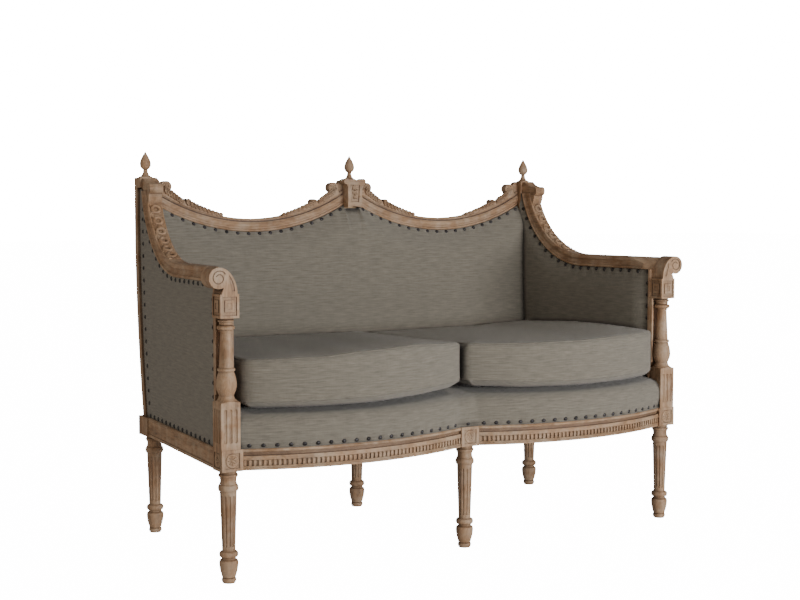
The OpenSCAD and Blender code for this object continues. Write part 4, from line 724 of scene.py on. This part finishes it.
def add_seat_deck():
    """Tight seat: a rolled front edge that follows the two bows, and a flat top behind it."""
    rows = [(p[0], p[1]) for p in smooth_profile(DECK_PROFILE[1:], 3)]
    back = back_face_y(DECK_TOP) - 0.3
    extra = [0.3, 0.6, 1.0]
    total = len(rows) + len(extra)

    def face(s, t):
        k = round(t * (total - 1))
        u = 2.0 * s - 1.0
        inset, z = rows[min(k, len(rows) - 1)]
        y = seat_front_y(u * deck_half_x(FRONT_Y)) + 5.0 + inset
        if k >= len(rows):
            y += (back - y) * extra[k - len(rows)]
        half = deck_half_x(y) - max(0.0, (z - 60.0) / 23.0) * 2.0
        x = u * half
        if k < len(rows):
            y = seat_front_y(x) + 5.0 + inset
            angle = math.asin(clamp((abs(x) - BOW_X) / BOW_R, -1.0, 1.0))
            share = (angle + DECK_SPAN) / (2 * DECK_SPAN) * DECK_NAILS - 0.5
            y -= nail_pull(share, z - NAIL_RISE, 1.8, 15.0)
        return (x, y, SEAT_TOP + z)

    bpy.ops.mesh.primitive_grid_add(x_subdivisions=220, y_subdivisions=total, size=2.0)
    piece = bpy.context.object
    shell = bmesh.new()
    shell.from_mesh(piece.data)
    shell.verts.ensure_lookup_table()
    places = [face((v.co.x + 1.0) / 2.0, (v.co.y + 1.0) / 2.0) for v in shell.verts]
    for v, p in zip(shell.verts, places):
        v.co = to_frame(p)
    # the sides, the back and the underside close the form
    rim = [e for e in shell.edges if e.is_boundary]
    grown = bmesh.ops.extrude_edge_only(shell, edges=rim)
    low = [v for v in grown["geom"] if isinstance(v, bmesh.types.BMVert)]
    inward, rail_back = 0.010, -0.22
    for v in low:
        v.co.z = (PAD_FLOOR if v.co.y > rail_back else SEAT_TOP) * 0.001
        if v.co.y > rail_back:
            v.co.x -= math.copysign(min(inward, abs(v.co.x)), v.co.x)
    bmesh.ops.contextual_create(shell, geom=[e for e in shell.edges if e.is_boundary])
    bmesh.ops.triangulate(shell, faces=[f for f in shell.faces if len(f.verts) > 4])
    shell.to_mesh(piece.data)
    shell.free()
    piece = settle(piece, "seat_deck", LINEN, angle=60.0)
    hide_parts("seat_deck")


# ---- Loose cushions

CUSHION_Z0, SEAM_LOW, SEAM_HIGH = 384.3, 394.3, 503.3
CUSHION_BACK = back_face_y(CUSHION_Z0) - PAD_CROWN - CUSHION_GAP
HALF_GAP = 0.75
BLANK_SHARE = 0.985
SWELL_LIMIT = 0.024
WELT_R, WELT_SIDES = 0.0021, 8


def cushion_front_y(x):
    bow = (RAIL_FACE_Y - seat_front_y(x)) / BOW_DEPTH
    return seat_front_y(x) - 2.0 * bow + 12.0 * (1.0 - bow)


def cushion_outer_x(y):
    return arm_x(y) - (ARM_PAD_DEPTH + arm_crown_at(y, ARM_BOTTOM)) / math.cos(ARM_ANGLE) - CUSHION_GAP


def cushion_point(a, b):
    """Place on the right-hand cushion for shares from -1 to 1 across and from front to back."""
    v = (b + 1.0) / 2.0
    outer = cushion_outer_x(FRONT_Y + LEG_SPAN * v)
    x = HALF_GAP + (a + 1.0) / 2.0 * (outer - HALF_GAP)
    y = (1.0 - v) * cushion_front_y(x) + v * CUSHION_BACK
    return x, y


def squircle(a, b, corner=0.1):
    """Rounds the corners of the square of shares."""
    lim = 1.0 - corner
    da, db = abs(a) - lim, abs(b) - lim
    if da > 0 and db > 0:
        d = max(da, db)
        length = math.hypot(da, db)
        if length > 1e-9:
            k = d / length
            return math.copysign(lim + da * k, a), math.copysign(lim + db * k, b)
    return a, b


def add_cushion_blank():
    """Boxed cushion a little smaller than its cover, before its filling swells it."""
    bpy.ops.mesh.primitive_grid_add(x_subdivisions=56, y_subdivisions=56, size=2.0)
    piece = bpy.context.object
    shell = bmesh.new()
    shell.from_mesh(piece.data)
    for v in shell.verts:
        a, b = squircle(v.co.x, v.co.y)
        x, y = cushion_point(a * BLANK_SHARE, b * BLANK_SHARE)
        v.co = to_frame((x, y, SEAM_LOW))
    base = list(shell.faces)
    top = bmesh.ops.duplicate(shell, geom=base)
    copies = [v for v in top["geom"] if isinstance(v, bmesh.types.BMVert)]
    for v in copies:
        v.co.z += (SEAM_HIGH - SEAM_LOW) * 0.001
    bmesh.ops.reverse_faces(shell, faces=base)
    loops = [e for e in shell.edges if e.is_boundary]
    bmesh.ops.bridge_loops(shell, edges=loops)
    shell.to_mesh(piece.data)
    shell.free()
    return piece


def mesh_points(piece):
    """A mesh's points as rows of x, y and z."""
    points = np.empty(len(piece.data.vertices) * 3)
    piece.data.vertices.foreach_get("co", points)
    return points.reshape(-1, 3)


def remesh_evenly(piece):
    only(piece)
    remesh = piece.modifiers.new("remesh", "REMESH")
    remesh.mode = "VOXEL"
    remesh.voxel_size = 0.006
    bpy.ops.object.modifier_apply(modifier=remesh.name)


def add_cushions():
    """Swells a blank as its filling would, with its two seams held, and makes the pair from it."""
    blank = add_cushion_blank()
    remesh_evenly(blank)
    start = mesh_points(blank)
    held = blank.vertex_groups.new(name="held")
    for i, (x, y, z) in enumerate(start):
        near = min(abs(z - SEAM_LOW * 0.001), abs(z - SEAM_HIGH * 0.001))
        # the remeshed outer seam, which slants, strays further from the outline
        depth = 0.012 if x > 0.45 else 0.006
        if cushion_depth_inside(x, y) < depth and near < 0.005:
            held.add([i], 0.9, "REPLACE")
    cloth = blank.modifiers.new("filling", "CLOTH")
    settings = cloth.settings
    settings.quality = 5
    settings.mass = 0.3
    settings.tension_stiffness = 15.0
    settings.compression_stiffness = 15.0
    settings.bending_stiffness = 2.5
    settings.use_pressure = True
    settings.uniform_pressure_force = 3.0
    settings.vertex_group_mass = "held"
    settings.effector_weights.gravity = 0.0
    scene = bpy.context.scene
    for step in range(1, 21):
        scene.frame_set(step)
    only(blank)
    bpy.ops.object.modifier_apply(modifier=cloth.name)
    scene.frame_set(1)
    shift = mesh_points(blank) - start
    size = np.linalg.norm(shift, axis=1)
    shift *= np.minimum(1.0, SWELL_LIMIT / np.maximum(size, 1e-9))[:, None]
    moved = start + shift
    blank.data.vertices.foreach_set("co", moved.ravel())
    blank.data.update()
    finish_cushion(blank)


def cushion_depth_inside(x, y):
    """How far a point of the plan lies inside the cushion's outline, in metres."""
    mx, my = x * 1000.0, y * 1000.0 - SHIFT_Y
    return 0.001 * min(mx - HALF_GAP, cushion_outer_x(my) - mx, my - cushion_front_y(mx), CUSHION_BACK - my)


# Shifts of a cushion's lower and upper front edge and of its upper back edge, by the distance from the middle
LOW_FRONT = {-1: ((0, 10), (80, 9), (160, 5), (317, 0), (600, 0)),
             1: ((0, 11), (60, 9), (150, 3), (300, 0), (600, 0))}
HIGH_FRONT = {-1: ((0, 3), (40, 5), (180, 12), (317, 7), (450, -2), (600, -6)),
              1: ((0, -1), (150, -1), (300, 0), (450, 4), (600, 4))}
HIGH_BACK = {-1: ((0, -8), (600, -7)), 1: ((0, -11), (355, -10), (460, -4), (570, -1))}
EDGE_TOP = SEAM_HIGH + 0.7
EDGE_LOW = CUSHION_Z0 + 0.2
BLANK_INSET = 5.0


def eased(stops, x):
    """Value at a place between stops, eased from stop to stop."""
    for (x0, a), (x1, b) in zip(stops, stops[1:]):
        if x <= x1:
            t = clamp((x - x0) / (x1 - x0))
            return a + (b - a) * t * t * (3.0 - 2.0 * t)
    return stops[-1][1]


def cushion_settled(mx, my, mz, side):
    """Moves a point as the cushion lies: its inner front corner lifts, and its top is uneven."""
    share = clamp((mz - CUSHION_Z0) / (SEAM_HIGH - CUSHION_Z0))
    inward = my - cushion_front_y(mx)
    low = eased(LOW_FRONT[side], mx) * math.exp(-((inward / 90.0) ** 2))
    back = clamp(inward / (CUSHION_BACK - FRONT_Y))
    high = eased(HIGH_FRONT[side], mx) * (1.0 - back) + eased(HIGH_BACK[side], mx) * back
    if side > 0:
        high += 10.0 * math.exp(-(((mx - 600.0) / 130.0) ** 2)) * math.sin(math.pi * back)
    return mz + low * (1.0 - share) + high * share


def rolled_edge(mx, my, mz):
    """Rolls the cushion's upper and lower edges over from its boxing to its top and its underside."""
    gaps = (mx - 1.2, cushion_outer_x(my) + 0.6 - mx, my - cushion_front_y(mx) + 3.0, CUSHION_BACK + 1.0 - my)
    pulls = [math.exp(-gap / 5.0) for gap in gaps]
    total = sum(pulls)
    depth = max(0.0, -5.0 * math.log(total) - BLANK_INSET)
    # the lower seam stands up from the deck, with a rounded belly below it
    inward = max(0.0, min(gaps) - BLANK_INSET)
    underside = EDGE_LOW + 19.5 * math.exp(-((inward / 20.0) ** 2))
    low = clamp((SEAM_LOW + 12.0 - mz) / 12.0)
    mz = (mz + 9.7 * clamp((SEAM_LOW + 50.0 - mz) / 50.0)) * (1.0 - low) + underside * low
    for plane, way, radius in ((EDGE_TOP, -1.0, 19.0), (EDGE_LOW, 1.0, 14.0)):
        height = way * (mz - plane)
        across, up = radius - depth, radius - max(0.0, height)
        if across > 0.0 and up > 0.0 and math.hypot(across, up) > radius:
            kept = radius / math.hypot(across, up)
            mx += (pulls[0] - pulls[1]) / total * across * (1.0 - kept)
            my += (pulls[2] - pulls[3]) / total * across * (1.0 - kept)
            mz = plane + way * (radius - up * kept) + min(0.0, height) * way * depth / radius
    return mx, my, mz


def fitted(points, side):
    """Cushion points kept clear of their neighbours, rolled at the edges and settled on the deck."""
    for p in points:
        mx, my, mz = p[0] * 1000.0, p[1] * 1000.0 - SHIFT_Y, p[2] * 1000.0
        mx = min(max(mx, 1.2), cushion_outer_x(my) + 0.6)
        my = max(min(my, CUSHION_BACK + 1.0), cushion_front_y(mx) - 3.0)
        if mz > SEAM_HIGH:
            mz = SEAM_HIGH + (mz - SEAM_HIGH) * 0.35
        mx, my, mz = rolled_edge(mx, my, max(mz, EDGE_LOW))
        mz = cushion_settled(mx, my, mz, side)
        p[:] = (mx * 0.001, (my + SHIFT_Y) * 0.001, mz * 0.001)
    return points


def add_welt(piece, side, seam, label):
    """Narrow self-welt sewn along one seam of a finished cushion."""
    tree = BVHTree.FromPolygons([v.co for v in piece.data.vertices], [p.vertices[:] for p in piece.data.polygons])
    path = []
    points = 220
    for i in range(points):
        turn = 2.0 * math.pi * i / points
        a, b = math.cos(turn), math.sin(turn)
        k = 1.0 / max(abs(a), abs(b))
        a, b = squircle(a * k, b * k)
        outer_x, outer_y = cushion_point(a * 1.08, b * 1.08)
        inner_x, inner_y = cushion_point(a * 0.7, b * 0.7)
        z = cushion_settled(*cushion_point(a, b), seam, side)
        start = to_frame((side * outer_x, outer_y, z))
        way = (to_frame((side * inner_x, inner_y, z)) - start).normalized()
        hit = tree.ray_cast(start, way, 0.12)[0]
        if hit is not None:
            path.append(hit + way * 0.0004)
    for _ in range(2):
        path = [(path[i - 1] + path[i] * 2.0 + path[(i + 1) % len(path)]) / 4.0 for i in range(len(path))]
    bpy.ops.mesh.primitive_circle_add(vertices=WELT_SIDES, radius=WELT_R)
    welt = bpy.context.object
    shell = bmesh.new()
    rings = []
    for i, place in enumerate(path):
        onward = (path[(i + 1) % len(path)] - path[i - 1]).normalized()
        level = onward.cross(Vector((0.0, 0.0, 1.0))).normalized()
        rise = level.cross(onward)
        rings.append([shell.verts.new(place + (level * math.cos(q) + rise * math.sin(q)) * WELT_R)
                      for q in (2.0 * math.pi * j / WELT_SIDES for j in range(WELT_SIDES))])
    for i in range(len(rings)):
        a, b = rings[i], rings[(i + 1) % len(rings)]
        for j in range(WELT_SIDES):
            k = (j + 1) % WELT_SIDES
            shell.faces.new((a[j], a[k], b[k], b[j]))
    shell.to_mesh(welt.data)
    shell.free()
    settle(welt, "welt_" + label, LINEN, "cushion_right" if side > 0 else "cushion_left", 60.0)


def finish_cushion(blank):
    """Fits the swollen cushion between its neighbours and makes the pair, with their welts."""
    only(blank)
    smooth = blank.modifiers.new("subdivide", "SUBSURF")
    smooth.levels = smooth.render_levels = 1
    bpy.ops.object.modifier_apply(modifier=smooth.name)
    swollen = mesh_points(blank)
    twin = blank.copy()
    twin.data = blank.data.copy()
    bpy.context.scene.collection.objects.link(twin)
    for piece, side, label in ((blank, 1, "right"), (twin, -1, "left")):
        points = fitted(swollen.copy(), side)
        points[:, 0] *= side
        piece.data.vertices.foreach_set("co", points.ravel())
        piece.data.update()
        settle(piece, "cushion_" + label, LINEN, "cushion_" + label, 60.0)
        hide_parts("cushion_cover_" + label)
        add_welt(piece, side, SEAM_HIGH - 3.0, "upper_" + label)
        add_welt(piece, side, SEAM_LOW + 8.0, "lower_" + label)


# ---- Carving


def scatter(source, places, name, material=None):
    """One piece made of copies of a modelled shape, each at its own place."""
    shell = bmesh.new()
    for place in places:
        start = len(shell.verts)
        shell.from_mesh(source.data)
        shell.verts.ensure_lookup_table()
        bmesh.ops.transform(shell, matrix=place, verts=shell.verts[start:])
    mesh = bpy.data.meshes.new(name)
    shell.to_mesh(mesh)
    shell.free()
    piece = bpy.data.objects.new(name, mesh)
    bpy.context.scene.collection.objects.link(piece)
    return settle(piece, name, material or CROSSWISE, angle=35.0)


def discard(source):
    bpy.data.objects.remove(source, do_unlink=True)


def pose(x, y, z, across, out, size=1.0, stretch=(1.0, 1.0, 1.0)):
    """Matrix that puts a shape drawn in millimetres at a place, its X along across and its Z along out."""
    out = Vector(out).normalized()
    across = Vector(across).normalized()
    side = out.cross(across)
    turn = Matrix((across, side, out)).transposed().to_4x4()
    scale = Matrix.Diagonal((*(size * k for k in stretch), 1.0))
    return Matrix.Translation(to_frame((x, y, z))) @ turn @ scale


def make_leaf():
    """Carved leaf 1 mm long before scaling: ribbed, hollow beside the rib and raised at its tip."""

    def outline(s, t):
        half = 0.36 * math.sin(math.pi * min(1.0, s * 0.93 + 0.07) ** 0.8) * (1.0 + 0.12 * math.sin(7.0 * math.pi * s))
        return s, (2.0 * t - 1.0) * half

    def face(s, t):
        x, y = outline(s, t)
        u = abs(2.0 * t - 1.0)
        rise = 0.10 + 0.16 * s * s + 0.10 * math.exp(-((u / 0.16) ** 2)) + 0.07 * math.exp(-(((u - 0.72) / 0.2) ** 2))
        return x, y, rise * (1.0 - 0.6 * u ** 6)

    def rear(s, t):
        x, y = outline(s, t)
        return x, y, -0.12

    return sheet_pad(9, 9, face, rear, lambda p: Vector(p) * 0.001)


def make_spiral(turns, r0, r1, bead, steps=64):
    """Raised spiral bead that winds in from radius r0 to radius r1, ending in a round eye."""
    bpy.ops.mesh.primitive_uv_sphere_add(segments=16, ring_count=8, radius=r1 * 0.001)
    piece = bpy.context.object
    shell = bmesh.new()
    shell.from_mesh(piece.data)
    bmesh.ops.scale(shell, vec=(1.0, 1.0, 0.75), verts=shell.verts[:])
    rings = []
    sides = 8
    for i in range(steps + 1):
        t = i / steps
        a = -2.0 * math.pi * turns * t
        r = r0 + (r1 - r0) * t
        thick = bead * (1.0 - 0.45 * t)
        centre = Vector((r * math.cos(a), r * math.sin(a), 0.0))
        outward = centre.normalized()
        ring = []
        for k in range(sides):
            b = 2.0 * math.pi * k / sides
            rise = Vector((0.0, 0.0, thick * math.sin(b)))
            ring.append(shell.verts.new((centre + outward * thick * math.cos(b) + rise) * 0.001))
        rings.append(ring)
    for a, b in zip(rings, rings[1:]):
        for k in range(sides):
            shell.faces.new((a[k], a[(k + 1) % sides], b[(k + 1) % sides], b[k]))
    shell.faces.new(rings[0])
    shell.faces.new(list(reversed(rings[-1])))
    shell.to_mesh(piece.data)
    shell.free()
    return piece


def make_dentil():
    """Upright dentil with softened edges, 6 mm wide, 3 mm deep and 12.6 mm high."""
    bpy.ops.mesh.primitive_cube_add(size=0.001)
    piece = bpy.context.object
    shell = bmesh.new()
    shell.from_mesh(piece.data)
    bmesh.ops.scale(shell, vec=(6.0, 12.6, 3.4), verts=shell.verts[:])
    front = [f for f in shell.faces if f.normal.z > 0.9]
    bmesh.ops.inset_region(shell, faces=front, thickness=0.0008, depth=0.0006)
    raised = [e for e in shell.edges if abs(e.verts[0].co.z - e.verts[1].co.z) < 1e-5 and e.verts[0].co.z > 0.001]
    bmesh.ops.bevel(shell, geom=raised, offset=0.0005, segments=1, affect="EDGES")
    shell.to_mesh(piece.data)
    shell.free()
    return piece


def make_petal():
    """Round-ended petal 1 mm long before scaling."""
    bpy.ops.mesh.primitive_uv_sphere_add(segments=12, ring_count=6, radius=0.0005)
    piece = bpy.context.object
    shell = bmesh.new()
    shell.from_mesh(piece.data)
    for v in shell.verts:
        v.co.y *= 0.45 * (0.75 + 0.5 * (v.co.x / 0.001 + 0.5))
        v.co.z *= 0.5
        v.co.x += 0.0005
    shell.to_mesh(piece.data)
    shell.free()
    return piece


FRONT = (0.0, -1.0, 0.0)
CREST_FACE_Y = POST_TOP_Y - 6.0
CREST_TOP_R = SWAG_R - 35.0
SCROLL_DX = 0.887 * 275.0
SCROLL_A = math.asin(SCROLL_DX / (CREST_TOP_R - 21.0))


def add_dentils():
    dentil = make_dentil()
    r = BOW_R - 1.6
    count = int(2 * DECK_SPAN * r / 11.0)
    for side, label in ((1, "right"), (-1, "left")):
        places = []
        for i in range(count):
            a = -DECK_SPAN + 2 * DECK_SPAN * (i + 0.5) / count
            x, y = BOW_X + r * math.sin(a), BOW_Y - r * math.cos(a)
            across, out = (math.cos(a), side * math.sin(a), 0.0), (side * math.sin(a), -math.cos(a), 0.0)
            places.append(pose(side * x, y, 269.0, across, out))
        scatter(dentil, places, "rail_dentils_" + label)
    discard(dentil)


def add_rosettes():
    petal = make_petal()
    z = RAIL_Z0 + 24.0
    face = FRONT_Y - 25.5 + 1.0
    spots = {"left": (-FRONT_X, face, FRONT), "centre": (0.0, face, FRONT), "right": (FRONT_X, face, FRONT),
             "left_side": (-FRONT_X - 24.5, FRONT_Y, (-1.0, 0.0, 0.0)),
             "right_side": (FRONT_X + 24.5, FRONT_Y, (1.0, 0.0, 0.0))}
    for label, (x, y, out) in spots.items():
        level = Vector(out).cross(Vector((0.0, 0.0, 1.0)))
        places = []
        for i in range(8):
            a = math.pi * i / 4
            across = level * math.cos(a) + Vector((0.0, 0.0, math.sin(a)))
            start = Vector((x, y, z)) + across * 3.6
            places.append(pose(*start, across, out, 7.4))
        places.append(pose(*(Vector((x, y, z)) - level * 3.0), level, out, 6.0, (1.0, 2.2, 1.1)))
        scatter(petal, places, "rosette_" + label, UPRIGHT)
    discard(petal)


def crest_pose(side, end, a, r, turn, size):
    """Place of a leaf on a crest's face, at an angle and a radius about its swag's centre."""
    x, z = SWAG_X + end * r * math.sin(a), SWAG_Z - r * math.cos(a)
    across = (side * end * math.cos(a + turn), 0.0, math.sin(a + turn))
    return pose(side * x, CREST_FACE_Y, z, across, FRONT, size)


def add_crest_carving():
    leaf = make_leaf()
    spiral = make_spiral(1.75, 11.5, 2.6, 2.3)
    for side, label in ((1, "right"), (-1, "left")):
        leaves, scrolls = [], []
        for end in (-1, 1):
            for i in range(9):
                t = i / 8.0
                a = math.radians(9.5 + 10.2 * t)
                r = CREST_TOP_R - 1.0 - 5.0 * t
                leaves.append(crest_pose(side, end, a, r, 0.30, 15.0 + 8.0 * t))
            for i in range(6):
                t = i / 5.0
                a = math.radians(22.2) + (SCROLL_A - 0.035 - math.radians(22.2)) * t
                r = CREST_TOP_R - 3.0 - 6.0 * t
                leaves.append(crest_pose(side, end, a, r, 0.34, 21.0 + 5.0 * t))
            x, z = SWAG_X + end * SCROLL_DX, SWAG_Z - (CREST_TOP_R - 21.0) * math.cos(SCROLL_A)
            scrolls.append(pose(side * x, CREST_FACE_Y, z, (-side * end * 0.5, 0.0, -0.87), FRONT))
            a = math.radians(20.9)
            r = CREST_TOP_R - 10.5
            bud = (side * (SWAG_X + end * r * math.sin(a)), CREST_FACE_Y, SWAG_Z - r * math.cos(a))
            scrolls.append(pose(*bud, (side * end, 0.0, 0.6), FRONT, 0.55))
        scatter(leaf, leaves, "crest_leaves_" + label)
        scatter(spiral, scrolls, "crest_scrolls_" + label)
    drop = []
    for z, size in ((894.0, 15.0), (880.0, 13.0), (867.0, 11.0)):
        for lean in (-0.5, 0.0, 0.5):
            drop.append(pose(0.0, POST_TOP_Y - 31.6, z, (math.sin(lean), 0.0, -math.cos(lean)), FRONT, size))
    scatter(leaf, drop, "pier_husks", UPRIGHT)
    discard(leaf)
    discard(spiral)


def arm_frame_place(side, across, y, z):
    """Place beside an arm's middle plane, by its distance across and its depth and height along it."""
    run = (y - FRONT_Y) / math.cos(ARM_ANGLE)
    x = FRONT_X - run * math.sin(ARM_ANGLE) + across * math.cos(ARM_ANGLE)
    return side * x, FRONT_Y + run * math.cos(ARM_ANGLE) + across * math.sin(ARM_ANGLE), z


def add_arm_carving():
    """Curled leaves on both sides of the carved rings that climb the arm's sweep."""
    leaf = make_leaf()
    inner_r = ARM_R - 33.0
    for side, label in ((1, "right"), (-1, "left")):
        places = []
        for i in range(7):
            a = ARM_SWEEP_END - math.radians(15.0 - 4.1 + 8.2 * i)
            out = Vector((0.0, -math.sin(a), math.cos(a)))
            climb = Vector((0.0, math.cos(a), math.sin(a)))
            leaf_y, leaf_z = ARM_Y + (inner_r + 1.0) * math.sin(a), ARM_Z - (inner_r + 1.0) * math.cos(a)
            for across in (-1, 1):
                for up in (-1, 1):
                    way = climb * up * 0.75 + Vector((side * across * 0.66, 0.0, 0.0))
                    places.append(pose(*arm_frame_place(side, across * 6.0, leaf_y, leaf_z), way, out, 13.5))
        scatter(leaf, places, "arm_leaves_" + label, ENDWISE)
    discard(leaf)


add_camera()
add_studio()
dress_frame()
inside_back = settle(sheet_pad(240, 100, back_face, back_rear), "inside_back_pad", LINEN, angle=60.0)
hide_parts("inside_back_pad")
add_arm_pad(1, "inside_arm_pad_right")
add_arm_pad(-1, "inside_arm_pad_left")
add_seat_deck()
add_cushions()
add_dentils()
add_rosettes()
add_crest_carving()
add_arm_carving()
